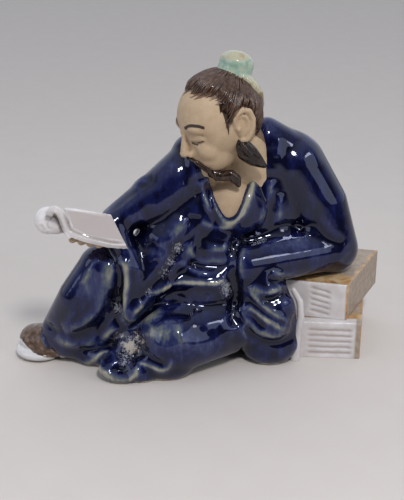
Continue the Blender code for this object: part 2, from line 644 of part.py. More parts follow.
def topknot():
    """A short drum of wrapped cloth with a domed top and a rolled foot."""
    axis = KNOT_TOP - KNOT_FOOT
    bpy.ops.mesh.primitive_cylinder_add(vertices=48, radius=KNOT_RADIUS * MM, depth=axis.length * MM)
    drum = bpy.context.object
    stand = axis.to_track_quat("Z", "Y").to_matrix().to_4x4()
    drum.data.transform(Matrix.Translation(KNOT_FOOT.lerp(KNOT_TOP, 0.5) * MM) @ stand)
    lean = [math.degrees(angle) for angle in stand.to_euler()]
    dome = ball(KNOT_TOP, (KNOT_RADIUS * 0.96, KNOT_RADIUS * 0.96, 2.8), lean)
    foot = ball(KNOT_FOOT, (KNOT_RADIUS * 1.06, KNOT_RADIUS * 1.06, 2), lean)
    return [drum, dome, foot]


def head():
    form = fuse("head form", head_masses(), HEAD_GRAIN, 14)
    form.data.transform(head_frame())
    local = feature_masses() + hair_masses() + beard_masses()
    for piece in local:
        piece.data.transform(head_frame())
    # neck, with the bare throat in the collar
    neck = roll(((20, 9, 76), (12, 11.5, 12)), ((16, 5, 92), (10, 10, 11)))
    made = fuse("head", [form] + local + neck + loose_hair() + topknot(), HEAD_GRAIN, 3)
    press(made, face_lines(), head_frame())
    return thin_out(made, HEAD_TRIANGLES)


def press(made, lines, frame):
    """Presses creases into the clay along its normals. Their points are in the frame's own axes."""
    mesh = made.data
    points, normals = mesh_points(mesh), mesh_normals(mesh)
    lift = np.zeros(len(points))
    for route, width, height in lines:
        route = smooth_route([frame @ (Vector(point) * MM) / MM for point in route])
        span = np.min(np.linalg.norm(points[:, None, :] - route[None, :, :], axis=2), axis=1)
        lift += height * np.exp(-(span / width) ** 2)
    mesh.vertices.foreach_set("co", ((points + normals * lift[:, None]) * MM).ravel())
    mesh.update()


def shoe():
    """A soft shoe on a thick sole."""
    clay = roll((HEEL, (8, 8, 8)), (TOE, (6.5, 8, 6)))
    clay += [ball((-70, -5, 3), (11.2, 10.5, 4), (0, 0, 12))]
    return thin_out(fuse("shoe", clay, BOOK_GRAIN, 2), SHOE_TRIANGLES)


def held_book():
    """An open book, its pages lying back on the hand and its left half rolled up."""
    corner = HELD_BOOK_CORNER
    page = slab((0, 0, 0), HELD_PAGE_SIZE, HELD_PAGE_TURNS, HELD_PAGE_EDGE)
    lean = Matrix.Rotation(math.radians(HELD_BOOK_LEAN), 4, "X")
    tilt = Matrix.Rotation(math.radians(HELD_BOOK_TILT), 4, "Y")
    page.data.transform(Matrix.Translation(corner * MM) @ tilt @ lean)
    clay = [page]
    # rolled half and its curling lip
    clay += roll(((-61.5, -20.5, 68.2), (5.4, 4.8, 5.6)), ((-61.5, -16, 70), (5.2, 4.6, 5.2)))
    curl = [(-59.5, -23.5, 72), (-57, -23.5, 74), (-55, -24, 72.5), (-53.5, -24.5, 68.5), (-51.5, -25, 65.5)]
    clay += strand(curl, 2.4)
    # the hand below
    clay += roll(((-45, -16.5, 60.3), (4, 6, 3.2)), ((-35, -14, 61), (5, 7, 4.6)))
    made = fuse("held book", clay, BOOK_GRAIN, 3)
    return thin_out(made, HELD_BOOK_TRIANGLES)


def glaze():
    """The dark blue glaze that covers most of the figure."""
    material = bpy.data.materials.new("cobalt glaze")
    material.use_nodes = True
    shader = material.node_tree.nodes["Principled BSDF"]
    shader.inputs["Base Color"].default_value = (0.012, 0.014, 0.055, 1)
    shader.inputs["Roughness"].default_value = 0.12
    shader.inputs["Metallic"].default_value = 0.0
    return material


def ground_block():
    """All that lies below the ground: it cuts the foot flat."""
    bpy.ops.mesh.primitive_cube_add(size=GROUND_BLOCK * MM, location=(0, 0, 0))
    block = bpy.context.object
    block.data.transform(Matrix.Translation((0, 0, -GROUND_BLOCK / 2 * MM)))
    return block


def figurine():
    made = robe()
    combine(made, book(LOWER_BOOK_CORNER, LOWER_BOOK_SIZE, LOWER_BOOK_TURNS, FOOT_CUT), "UNION")
    combine(made, book(UPPER_BOOK_CORNER, UPPER_BOOK_SIZE, UPPER_BOOK_TURNS, BOOK_OVERLAP), "UNION")
    for piece in (head(), shoe(), held_book()):
        combine(made, piece, "UNION")
    combine(made, ground_block(), "DIFFERENCE")
    made.name = made.data.name = "figurine"
    made.data.materials.clear()
    made.data.materials.append(glaze())
    return made


def main():
    clear_scene()
    parts = bpy.data.collections.new("mudman figurine")
    bpy.context.scene.collection.children.link(parts)
    made = figurine()
    for home in list(made.users_collection):
        home.objects.unlink(made)
    parts.objects.link(made)
    made.data.shade_smooth()
    made.data.set_sharp_from_angle(angle=math.radians(50))


main()
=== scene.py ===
"""A mudman figurine: a scholar seated on the ground, one arm on two books and a third book in hand."""

import math

import bmesh
import bpy
import numpy as np
from mathutils import Euler, Matrix, Vector
from mathutils.bvhtree import BVHTree


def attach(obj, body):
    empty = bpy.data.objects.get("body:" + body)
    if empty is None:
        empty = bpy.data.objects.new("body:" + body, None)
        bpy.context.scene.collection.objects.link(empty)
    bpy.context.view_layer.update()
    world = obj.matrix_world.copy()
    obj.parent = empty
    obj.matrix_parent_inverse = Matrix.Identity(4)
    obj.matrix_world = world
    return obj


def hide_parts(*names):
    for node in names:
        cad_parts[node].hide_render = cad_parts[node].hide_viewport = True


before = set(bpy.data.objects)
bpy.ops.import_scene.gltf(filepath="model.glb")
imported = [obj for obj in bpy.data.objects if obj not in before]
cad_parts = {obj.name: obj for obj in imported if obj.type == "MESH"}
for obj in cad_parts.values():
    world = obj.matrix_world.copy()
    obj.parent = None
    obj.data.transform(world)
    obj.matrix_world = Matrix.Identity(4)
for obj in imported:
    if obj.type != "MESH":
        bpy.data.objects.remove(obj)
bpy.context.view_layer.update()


# ---- Table, light and camera ----
# The figurine stands on a plain pale table top, in a room that is light behind it and darker behind the
# viewer. The glaze mirrors the table, the pale wall and the lamps. Lengths are in millimetres, times MM.

MM = 0.001
EYE_AIM = Vector((0, 0, 47))
EYE_DISTANCE = 425
EYE_RISE = math.radians(23)
SENSOR_WIDTH = 36
LENS = 72.144
TABLE_REACH = 3
TABLE_GRAIN = 60
TABLE_COLOUR = (0.605, 0.555, 0.52, 1)
TABLE_SECOND_COLOUR = (0.64, 0.59, 0.555, 1)
FIGURE_MIDDLE = Vector((0, 0, 0.06))
DAYLIGHT = (0.86, 0.91, 1.0)


def node_material(name):
    """A material with an empty node tree but for its shader and output."""
    material = bpy.data.materials.new(name)
    material.use_nodes = True
    tree = material.node_tree
    return material, tree.nodes, tree.links, tree.nodes["Principled BSDF"]


def kept(name, work):
    """Keeps a mesh in the making as an object of the scene."""
    made = bpy.data.objects.new(name, bpy.data.meshes.new(name))
    work.to_mesh(made.data)
    work.free()
    bpy.context.scene.collection.objects.link(made)
    return made


bpy.context.scene.view_settings.view_transform = "Standard"
camera = bpy.data.objects.new("camera", bpy.data.cameras.new("camera"))
bpy.context.scene.collection.objects.link(camera)
bpy.context.scene.camera = camera
toward_eye = Vector((0, -math.cos(EYE_RISE), math.sin(EYE_RISE)))
camera.location = (EYE_AIM + toward_eye * EYE_DISTANCE) * MM
camera.rotation_euler = (-toward_eye).to_track_quat("-Z", "Y").to_euler()
camera.data.lens = LENS
camera.data.sensor_width = SENSOR_WIDTH
camera.data.clip_start = 0.01

table_mesh = bmesh.new()
bmesh.ops.create_grid(table_mesh, x_segments=8, y_segments=8, size=TABLE_REACH)
table = kept("table", table_mesh)
table_finish, nodes, links, shader = node_material("pale table top")
shader.inputs["Roughness"].default_value = 0.75
shader.inputs["Specular IOR Level"].default_value = 0.2
grain = nodes.new("ShaderNodeTexNoise")
grain.inputs["Scale"].default_value = TABLE_GRAIN
grain.inputs["Detail"].default_value = 4
tone = nodes.new("ShaderNodeMix")
tone.data_type = "RGBA"
tone.inputs[6].default_value = TABLE_COLOUR
tone.inputs[7].default_value = TABLE_SECOND_COLOUR
place = nodes.new("ShaderNodeTexCoord")
links.new(place.outputs["Object"], grain.inputs["Vector"])
links.new(grain.outputs["Fac"], tone.inputs["Factor"])
links.new(tone.outputs["Result"], shader.inputs["Base Color"])
table.data.materials.append(table_finish)


def soft_lamp(name, place, aim, size, power):
    """A flat lamp at a place, aimed at a point, in metres and watts."""
    lamp = bpy.data.objects.new(name, bpy.data.lights.new(name, "AREA"))
    lamp.data.shape = "RECTANGLE"
    lamp.data.size, lamp.data.size_y = size
    lamp.data.energy = power
    lamp.location = place
    lamp.rotation_euler = (Vector(place) - Vector(aim)).to_track_quat("Z", "Y").to_euler()
    bpy.context.scene.collection.objects.link(lamp)
    return lamp


# a small bright lamp before and above the figure, another to its right, and a wide pale window on each side
soft_lamp("lamp", (0.13, -0.5, 0.66), (0, 0, 0.05), (0.1, 0.13), 3.1)
soft_lamp("lamp right", (0.62, -0.48, 0.56), FIGURE_MIDDLE, (0.17, 0.12), 0.5)
windows = (
    soft_lamp("window right", (0.85, -0.5, 0.42), FIGURE_MIDDLE, (0.6, 0.5), 1.3),
    soft_lamp("window left", (-0.85, -0.42, 0.4), FIGURE_MIDDLE, (0.8, 0.6), 2.2),
)
for window in windows:
    window.data.color = DAYLIGHT

# the room: a pale wall behind the figure, a pale ceiling, and a dark side behind the viewer
world = bpy.data.worlds.new("room")
bpy.context.scene.world = world
world.use_nodes = True
nodes, links = world.node_tree.nodes, world.node_tree.links
way = nodes.new("ShaderNodeTexCoord")
parts = nodes.new("ShaderNodeSeparateXYZ")
links.new(way.outputs["Generated"], parts.inputs[0])


def room_side(axis, dark_from, bright_from, dark, bright):
    """The strength of the light from one side of the room, by how far a direction leans to it."""
    side = nodes.new("ShaderNodeMapRange")
    side.interpolation_type = "SMOOTHSTEP"
    titles = ("From Min", "From Max", "To Min", "To Max")
    for title, number in zip(titles, (dark_from, bright_from, dark, bright)):
        side.inputs[title].default_value = number
    links.new(parts.outputs[axis], side.inputs["Value"])
    return side.outputs[0]


wall_and_ceiling = nodes.new("ShaderNodeMath")
wall_and_ceiling.operation = "MAXIMUM"
links.new(room_side("Y", -0.2, 0.6, 0.05, 0.9), wall_and_ceiling.inputs[0])
links.new(room_side("Z", 0.35, 1.0, 0.05, 0.75), wall_and_ceiling.inputs[1])
seen = nodes.new("ShaderNodeLightPath")
strength = nodes.new("ShaderNodeMix")
strength.inputs[3].default_value = 0.5
links.new(seen.outputs["Is Camera Ray"], strength.inputs["Factor"])
links.new(wall_and_ceiling.outputs[0], strength.inputs[2])
links.new(strength.outputs[0], nodes["Background"].inputs["Strength"])
nodes["Background"].inputs["Color"].default_value = (*DAYLIGHT, 1)


# ---- Robe ----
# The wide robe is the figure's main form: stoneware pressed in a mould, its folds tooled in while the clay
# was soft. It was dipped in a cobalt glaze, which lies dark in the hollows and breaks to olive and cream on
# the crests.

ROBE_GRAIN = 0.7
ROBE_SMOOTHING = 20
FOLD_SOFTNESS = 0.75
FOLD_SMOOTHING = 4
CLEAR_OF_SKIN = 1.5
HIP = Vector((12, 12, 20))
CHEST = Vector((20, 11, 62))
NECK = Vector((21, 10, 86))
LEFT_SHOULDER = Vector((38, 14, 80))
LEFT_ELBOW = Vector((55.4, 10, 44))
LEFT_HAND = Vector((18, -10, 44))
RIGHT_SHOULDER = Vector((-1, 3, 85.4))
RIGHT_ELBOW = Vector((-20, -5, 71.8))
RIGHT_WRIST = Vector((-36, -12, 64.2))
LEFT_KNEE = Vector((-12, -20.5, 14.5))
RIGHT_KNEE = Vector((-41.2, -14, 45))


def ball(centre, radii, turn=(0, 0, 0)):
    """An ellipsoid of clay, turned by angles in degrees."""
    bpy.ops.mesh.primitive_uv_sphere_add(segments=32, ring_count=18, radius=1)
    made = bpy.context.object
    spin = Euler([math.radians(angle) for angle in turn]).to_matrix().to_4x4()
    size = Matrix.Diagonal((*(MM * r for r in radii), 1))
    made.data.transform(Matrix.Translation(Vector(centre) * MM) @ spin @ size)
    return made


def roll(*stations, step=2.5):
    """A roll of clay through stations of (centre, radii), laid as overlapping balls."""
    made = []
    for (start, start_radii), (end, end_radii) in zip(stations, stations[1:]):
        start, end = Vector(start), Vector(end)
        start_radii, end_radii = Vector(start_radii), Vector(end_radii)
        count = max(2, round((end - start).length / step))
        for place in range(count + 1):
            share = place / count
            made.append(ball(start.lerp(end, share), start_radii.lerp(end_radii, share)))
    return made


def applied(made):
    """The object with its modifiers worked into its mesh."""
    graph = bpy.context.evaluated_depsgraph_get()
    mesh = bpy.data.meshes.new_from_object(made.evaluated_get(graph))
    made.modifiers.clear()
    made.data = mesh
    return made


def fuse(name, pieces, grain, smoothing):
    """Joins pieces into one skin of clay, as a thumb smooths the seams."""
    whole = bmesh.new()
    for piece in pieces:
        whole.from_mesh(piece.data)
        bpy.data.objects.remove(piece)
    made = kept(name, whole)
    skin = made.modifiers.new("one skin", "REMESH")
    skin.mode = "VOXEL"
    skin.voxel_size = grain * MM
    soften = made.modifiers.new("smoothed", "SMOOTH")
    soften.factor = 0.5
    soften.iterations = smoothing
    return applied(made)


def smooth_route(points, spacing=0.5):
    """A smooth line through points, as closely spaced points."""
    points = np.array(points, dtype=float)
    padded = np.vstack([2 * points[0] - points[1], points, 2 * points[-1] - points[-2]])
    route = []
    for before, start, end, after in zip(padded, padded[1:], padded[2:], padded[3:]):
        count = max(2, int(np.linalg.norm(end - start) / spacing))
        share = np.arange(count)[:, None] / count
        bend = 2 * before - 5 * start + 4 * end - after
        swing = 3 * start - before - 3 * end + after
        route.append(start + 0.5 * share * (end - before + share * (bend + share * swing)))
    route.append(points[-1:])
    return np.vstack(route)


def ridge(height, width, *points):
    """A rounded ridge along a line, or a groove where the height is negative."""
    return ("ridge", FOLD_SOFTNESS * height, width / FOLD_SOFTNESS, smooth_route(points))


def lap(height, width, *points):
    """An overlapping edge: raised on the left of the line as it is drawn, and falling away over the width."""
    return ("lap", height, width, smooth_route(points))


def dab(height, width, point):
    """A round swelling, or a dent where the height is negative."""
    return ("dab", height, width, np.array([point], dtype=float))


RIGHT_ARM_FOLDS = [
    # shoulder seam beside the collar
    ridge(0.7, 1.2, (-6, 44), (-5, 39), (-3.5, 34), (-3.5, 29)),
    ridge(-0.7, 1.3, (-10, 45), (-8.5, 38), (-7, 31), (-6, 24)),
    # pinch in the upper contour of the sleeve
    ridge(-1.4, 1.8, (-20, 31), (-24, 28.5), (-28, 26.5)),
    dab(1.2, 2.6, (-25, 30)),
    # long folds from the shoulder to the cuff
    ridge(0.5, 2.4, (-13, 38), (-18, 30), (-23, 25), (-30, 19.5), (-36, 16.5)),
    ridge(-0.9, 1.5, (-27, 24.5), (-31, 23), (-35, 19.5), (-40, 16.8)),
    ridge(-0.5, 2.0, (-12, 30), (-16, 24), (-21, 18), (-26, 15)),
    ridge(0.35, 1.5, (-14, 26), (-18, 21), (-22, 16)),
    # fold from the armpit down the inside of the sleeve
    ridge(1.2, 2.8, (-8, 14), (-10, 9), (-14, 5), (-20, 2.5)),
    ridge(0.9, 2.4, (-14, -1), (-18, -1.5), (-22, -2.5), (-21, -5)),
    ridge(-0.9, 2.2, (-12, 1), (-17, 0), (-24, 1)),
    ridge(-1.3, 2.5, (-24, 12), (-27, 6), (-28, 0)),
]

HANGING_SLEEVE_FOLDS = [
    # the cuff's front edge, its tip and its lower edge
    ridge(
        1.9, 1.3, (-37, -6), (-34.5, -5), (-32.3, -6.5), (-32, -12), (-32.6, -20), (-33.5, -28),
        (-32.5, -32)
    ),
    ridge(
        1.7, 1.4, (-33, -31), (-30.5, -33.3), (-27, -32), (-22, -28.5), (-16, -25.2), (-10, -24.3),
        (-4, -22.6)
    ),
    ridge(-1.5, 1.7, (-29.5, -8), (-29.8, -16), (-30.5, -25)),
    # second fold that crosses the lap
    ridge(1.0, 1.1, (-30, -28.5), (-26, -24), (-22, -19.5), (-18, -16.3), (-13, -14.3)),
    ridge(-1.3, 1.5, (-28, -30), (-23, -25.5), (-18, -21), (-12, -18.5), (-5, -19.5)),
    # deep valley between the sleeve and the belly
    ridge(-2.2, 2.0, (-3, 15), (-4.5, 9), (-9, 3), (-12.5, -4), (-16, -10), (-21, -16.5), (-26, -23)),
    ridge(1.5, 1.2, (-2.5, 13), (-3.6, 10), (-6, 6.5), (-9.5, 2.5)),
]

COLLAR_FOLDS = [
    # edge of the collar around the neck
    lap(1.6, 5.0, (23, 38), (19.5, 28), (16.5, 19), (13, 13.6), (10, 13.6), (7.5, 16.5), (4.8, 23), (3, 31)),
    # ridge that runs parallel to the collar
    ridge(1.1, 1.6, (25, 36), (21, 26), (18, 17.5), (12.5, 11.3), (6.5, 9.6), (1.5, 11.2), (-0.5, 13)),
    ridge(-1.0, 1.3, (3.5, 30), (2.6, 24), (5, 16.5), (9, 12.4)),
    ridge(0.9, 1.0, (-0.8, 30), (0.6, 23), (3.8, 15.5)),
    ridge(-0.8, 1.2, (-2.2, 27), (-1, 20), (1.5, 14.5)),
    # soft folds of the left breast
    ridge(1.3, 1.7, (28.5, 30), (28.5, 25), (26.5, 18), (24, 10.5)),
    ridge(-0.9, 1.8, (29.8, 24), (29.5, 16), (28, 9)),
    ridge(1.1, 1.7, (32.3, 24), (33, 17), (32.8, 11)),
    ridge(0.7, 1.3, (32.5, 49), (32, 44), (31, 39)),
    ridge(0.6, 1.4, (42, 46), (47, 41), (50, 35)),
]

BELLY_FOLDS = [
    # sash bulge and the folds that hang from it
    ridge(-0.7, 1.6, (-0.5, 8), (1, 5.5), (5, 3.2), (10, 2.8), (14, 4)),
    ridge(1.0, 1.7, (-6, 3.5), (-4.5, -1.5), (-1, -4.4), (4, -4.8), (10, -4.4), (13, -1)),
    ridge(0.7, 1.4, (2, 0.6), (8, 0.4), (12.5, 1.8)),
    ridge(-0.8, 1.4, (-6, -4), (-2, -6.5), (4, -6.8), (10, -6.8)),
    ridge(0.9, 1.6, (-9, -4), (-5.5, -8), (0, -10.2), (6, -12)),
    dab(1.0, 2.4, (10.3, -8)),
    ridge(-0.8, 1.5, (-11, -8), (-6, -11), (0, -12.2), (7, -12.2)),
    # lap line
    ridge(1.3, 1.2, (-20, -19.5), (-14, -14.8), (-9, -13.8), (-2, -14), (4, -14.2), (10, -13.4)),
    ridge(-1.0, 2.0, (-13, -17.5), (-5, -17), (3, -17.5), (9, -19)),
    ridge(0.9, 1.6, (-20, -24.5), (-13, -22.5), (-6, -22.8), (1, -22), (6, -20)),
    dab(-0.8, 2.4, (10, -16.5)),
]

LEFT_KNEE_FOLDS = [
    ridge(-1.2, 1.6, (-22, -31.5), (-15, -27), (-9, -26.5), (-4, -27.5)),
    ridge(1.0, 2.0, (-11, -31), (-9.5, -37), (-8, -43)),
    ridge(-0.8, 2.6, (-5, -33), (2, -36), (9, -35)),
    # hem over the knee
    ridge(1.5, 1.2, (-28, -48), (-23, -48.6), (-18, -50.4), (-14.5, -49.8), (-12, -46)),
    ridge(-1.2, 1.5, (-23, -45.5), (-18.5, -47.8), (-15, -47.3)),
    # hollow between the knee and the right leg
    ridge(-1.6, 3.0, (-24, -36), (-25.5, -41), (-25, -46)),
]

SHOE_HEM = (
    (-62, -45), (-57, -47), (-50, -47.8), (-45.5, -46), (-42, -43.4),
    (-38, -43.6), (-36.2, -46),
)
UNDER_HEM = (
    (-41, -47), (-43.6, -48), (-42.8, -50.5), (-38, -54), (-33, -54.8),
    (-28.5, -53), (-27.5, -49),
)
RIGHT_LEG_FOLDS = [
    # pool of cloth between the legs
    ridge(-1.8, 1.8, (-35, -9), (-35.6, -18), (-36, -27), (-36, -33)),
    ridge(1.5, 1.9, (-39, -3), (-39.4, -11), (-40.5, -19), (-44.5, -26.5), (-51, -31), (-59, -33.5)),
    ridge(-2.2, 2.2, (-38, -16), (-40.5, -25), (-44.5, -31.5), (-50, -35.5), (-56, -37)),
    ridge(1.0, 1.0, (-44, -3), (-47.5, -9), (-51, -15)),
    ridge(0.8, 1.0, (-54, -25), (-56, -29), (-59.5, -32)),
    ridge(1.5, 1.3, (-62, -36), (-58, -39), (-52, -39.6), (-46, -38.5), (-40, -35.5), (-36, -32)),
    ridge(1.3, 1.1, (-50, -41), (-44, -40), (-38, -37)),
    ridge(-1.6, 1.3, (-52, -42), (-46, -42), (-40, -40.6), (-36, -38.5)),
    # dropped hem, with its loop and the pocket in front
    ridge(1.7, 1.1, *SHOE_HEM),
    ridge(1.8, 1.2, *UNDER_HEM),
    ridge(-3.2, 2.2, (-38, -49), (-35, -50.8), (-31, -50.8)),
    ridge(-1.6, 2.2, (-33, -36), (-31.5, -41), (-31.5, -46)),
    # hem at the shoe
    lap(1.6, 4.0, (-62.5, -46), (-64.3, -42), (-67, -37), (-70.5, -32)),
    ridge(-1.0, 1.0, (-67.5, -29.5), (-64, -33), (-60.5, -35.5)),
]

FOREARM_FOLDS = [
    # crook of the arm, above the forearm
    ridge(-1.6, 1.6, (16, 5.5), (22, 5), (28, 7.2), (35, 10.2), (42, 10), (48, 9.8), (53, 5), (60, 1.8)),
    ridge(1.0, 1.7, (24, 1), (31, 4), (39, 6.3), (47, 6)),
    ridge(-1.0, 1.5, (61, 1), (63.5, -1.5), (60, -6), (55, -9.5)),
    # dark gap between the belly and the cuff
    ridge(-2.6, 1.7, (14.5, 6), (13.6, 1), (13.2, -6), (13.4, -13), (14.5, -19), (13.6, -26), (14.3, -33)),
    ridge(1.0, 1.3, (18.5, 1), (16.8, -4), (16.5, -9), (18, -13)),
    # lower edge of the forearm
    ridge(-2.0, 1.4, (28, -12), (33, -12.6), (39, -11.7)),
    ridge(1.2, 1.2, (29, -10.2), (34, -10.3), (40, -10)),
]

LEFT_SLEEVE_FOLDS = [
    ridge(1.5, 1.5, (20.5, -15), (24, -17), (28, -17.8), (34, -16.5)),
    ridge(-2.0, 1.6, (24, -21), (29, -21.5), (34, -19), (40, -15.6)),
    dab(1.3, 4.5, (36.5, -22)),
    ridge(1.9, 1.4, (20, -15.5), (23, -21), (27.5, -25.5), (32, -28.5), (36.5, -30.5)),
    ridge(-2.2, 1.3, (19.5, -20.5), (25, -25.5), (30, -29), (35, -31.8)),
    ridge(1.7, 1.3, (19.5, -23), (25.5, -28), (30.5, -31), (35.5, -34)),
    ridge(-1.4, 1.4, (20.5, -25.5), (23.5, -30.5), (26.5, -34)),
    ridge(1.7, 2.0, (16, -23), (18.5, -29), (23, -34.5), (29, -36), (34.5, -35.6)),
    ridge(-2.3, 1.8, (18.3, -31.5), (22, -36.5), (28, -39.3), (35, -39), (39.5, -35), (41, -27)),
    ridge(1.3, 1.2, (16.8, -31), (18.3, -36), (23, -40)),
    ridge(1.1, 1.3, (42, -17), (42.6, -24), (41.6, -31), (40.4, -38), (39, -43)),
    ridge(-1.2, 2.0, (13, -36), (14.5, -41), (15.5, -44)),
]

# broad plain folds of the back, drawn as seen from behind
BACK_FOLDS = [
    ridge(1.2, 3.0, (-44, 42), (-36, 22), (-18, 4), (4, -6)),
    ridge(-1.2, 3.2, (-30, 44), (-22, 22), (-8, 2), (10, -14)),
    ridge(1.1, 2.8, (-6, 40), (-4, 20), (2, 0), (12, -22)),
    ridge(-1.1, 3.0, (2, 34), (6, 16), (16, 0), (30, -14)),
    ridge(1.2, 2.6, (-40, -8), (-20, -18), (4, -24), (28, -26)),
    ridge(-1.3, 2.6, (-36, -18), (-14, -28), (10, -33), (34, -34)),
    lap(-1.2, 3.5, (-26, 52), (-14, 47), (-2, 46)),
]


def mesh_points(mesh):
    points = np.empty(len(mesh.vertices) * 3)
    mesh.vertices.foreach_get("co", points)
    return points.reshape(-1, 3) / MM


def mesh_normals(mesh):
    normals = np.empty(len(mesh.vertices) * 3)
    mesh.vertex_normals.foreach_get("vector", normals)
    return normals.reshape(-1, 3)


def sketched(points, turn=0):
    """Where points lie on the sketch plane of an eye turned about Z, and that eye's place."""
    around = Matrix.Rotation(math.radians(turn), 3, "Z")
    forward = np.array(around @ -toward_eye)
    up = np.array(around @ Vector((0, math.sin(EYE_RISE), math.cos(EYE_RISE))))
    right = np.array(around @ Vector((1, 0, 0)))
    eye = np.array(EYE_AIM) - forward * EYE_DISTANCE
    depth = (points - eye) @ forward
    flat = np.stack([(points - eye) @ right, (points - eye) @ up], axis=1) * (EYE_DISTANCE / depth)[:, None]
    return flat, eye


def surface_of(mesh):
    """The surface of a mesh in millimetres, for rays to be cast on."""
    corners = [Vector(v.co) / MM for v in mesh.vertices]
    return BVHTree.FromPolygons(corners, [p.vertices for p in mesh.polygons])


def seen_from(eye, points, normals, mesh):
    """How openly each point faces the eye, 0 where it is turned away or hidden."""
    surface = surface_of(mesh)
    ways = eye - points
    ways /= np.linalg.norm(ways, axis=1)[:, None]
    facing = np.clip((np.einsum("ij,ij->i", ways, normals) - 0.02) / 0.3, 0, 1)
    for place in np.flatnonzero(facing > 0):
        start = Vector(points[place] + CLEAR_OF_SKIN * normals[place])
        if surface.ray_cast(start, Vector(ways[place]))[0] is not None:
            facing[place] = 0
    return facing


def fold_height(folds, places):
    """The height of all folds at places on the sketch plane."""
    total = np.zeros(len(places))
    for kind, height, width, route in folds:
        low, high = route.min(axis=0) - 3 * width, route.max(axis=0) + 3 * width
        near = np.flatnonzero(np.all((places > low) & (places < high), axis=1))
        if not len(near):
            continue
        gaps = places[near][:, None, :] - route[None, :, :]
        spans = np.einsum("ijk,ijk->ij", gaps, gaps)
        closest = spans.argmin(axis=1)
        span = np.sqrt(spans[np.arange(len(near)), closest])
        if kind == "lap":
            along = np.gradient(route, axis=0)[closest]
            gap = gaps[np.arange(len(near)), closest]
            side = np.sign(along[:, 0] * gap[:, 1] - along[:, 1] * gap[:, 0]) * span
            shape = np.clip(0.5 + side / 0.9, 0, 1) * np.exp(-np.clip(side, 0, None) / width)
        else:
            shape = np.exp(-(span / width) ** 2)
        if kind != "dab":
            length = len(route) - 1
            ends = np.minimum(closest, length - closest) / min(length / 3, 8)
            shape = shape * np.sqrt(np.clip(ends, 0, 1))
        total[near] += height * shape
    return total


def shift_points(mesh, points):
    mesh.vertices.foreach_set("co", (points * MM).ravel())
    mesh.update()


def tool_folds(made, folds, turn=0):
    """Tools folds into the clay along its own normals, where the eye sees it."""
    points, normals = mesh_points(made.data), mesh_normals(made.data)
    flat, eye = sketched(points, turn)
    lift = fold_height(folds, flat) * seen_from(eye, points, normals, made.data)
    shift_points(made.data, points + normals * lift[:, None])


def robe_masses():
    clay = []
    # seat and trunk
    clay += roll((HIP, (33, 20, 22)), (CHEST, (24, 15, 17)), (NECK + Vector((5, 3, 0)), (14, 11, 13)))
    clay += [ball((4, -3, 50), (14, 10, 13)), ball((13, -1, 66), (13, 9, 14))]
    # the back of the robe: its middle, its left and right flanks, and its hem on the ground
    clay += roll(
        ((24, 13, 82), (19, 13, 17)), ((16, 15, 56), (28, 14, 20)), ((8, 14, 30), (32, 17, 20)), step=5
    )
    clay += roll(
        ((37, 15, 74), (15, 12, 16)), ((38, 16, 48), (15, 13, 16)), ((36, 16, 24), (14, 14, 14)), step=5
    )
    clay += roll(
        ((-2, 7, 76), (13, 11, 14)), ((-14, 7, 42), (18, 13, 18)), ((-24, 6, 16), (20, 14, 14)), step=5
    )
    clay += roll(((-38, -7, 38), (11, 11, 12)), ((-40, -1, 14), (18, 13, 14)), step=5)
    clay += roll(
        ((-46, 0, 3), (14, 12, 9)), ((-20, 10, 6), (22, 13, 12)), ((26, 17, 6), (26, 15, 14)), step=5
    )
    # the collar standing behind the neck
    clay += roll(((27, 12, 91.5), (8, 9, 10.2)), ((36, 13, 86), (9, 9, 10)))
    # left arm, bent, with the forearm on the books
    clay += roll(
        (LEFT_SHOULDER, (14.5, 13, 14.5)), ((49, 12, 63), (13.5, 12, 13)), (LEFT_ELBOW, (12.5, 12, 11))
    )
    clay += roll((LEFT_ELBOW, (12, 11, 10)), (LEFT_HAND, (8, 8, 9)))
    # left sleeve, hanging in front of the books
    clay += roll(((23, -10, 36), (12, 8, 11)), ((27, -12, 22), (13, 9, 12)), ((29, -9, 7), (12.4, 10, 9)))
    # right arm, reaching out
    cuff = (RIGHT_WRIST + Vector((1, 2, 0.5)), (6.5, 7.5, 6))
    clay += roll((RIGHT_SHOULDER, (12, 11, 11)), (RIGHT_ELBOW, (10, 10, 9.5)), cuff)
    clay += [ball((-3, 4, 87.5), (10, 9, 10)), ball((-24.5, -5, 77), (4.5, 6, 3.5), (0, -30, 0))]
    # right sleeve, hanging from the forearm
    clay += roll(
        ((-4, -2, 66), (13, 9, 12)),
        ((-16, -10, 51), (13, 8, 13)),
        ((-24, -16, 38), (8, 7, 9)),
        ((-29, -22, 28), (3, 4, 4)),
    )
    clay += roll((RIGHT_WRIST, (6, 7, 6)), ((-28, -17, 46), (5, 7, 6)), ((-29, -22, 28), (3, 4, 4)))
    # right leg, knee up, under the robe
    clay += roll(
        (HIP + Vector((-8, -4, 8)), (16, 15, 15)), ((-20, -6, 36), (14, 12, 12)),
        (RIGHT_KNEE, (10, 9.5, 10))
    )
    clay += roll(
        (RIGHT_KNEE, (10, 9.5, 9.5)), ((-47.3, -13, 30), (13.2, 11, 12.5)),
        ((-55, -7, 12), (14.5, 11, 12))
    )
    clay += roll(((-36, -6, 22), (14, 14, 16)), ((-20, -4, 20), (16, 14, 16)))
    # left leg, lying on the ground
    clay += roll(
        (HIP + Vector((10, -4, -2)), (15, 14, 15)), ((8, -9.5, 17), (15, 13, 14)),
        (LEFT_KNEE, (15, 13, 14))
    )
    # lap and hem
    clay += [ball((0, -5, 36), (22, 14, 12)), ball((-38, -9, 6), (22, 10.5, 8))]
    clay += [ball((-33, -24, 4), (10, 8.5, 6)), ball((-25, -24.5, 4), (8, 8, 6))]
    clay += [ball((-28, -18.5, 10), (10, 8, 9)), ball((-15, -23.5, 8), (13, 8.5, 10))]
    return clay


def set_attribute(mesh, name, values):
    attribute = mesh.attributes.new(name, "FLOAT", "POINT")
    attribute.data.foreach_set("value", np.asarray(values, dtype=np.float32))


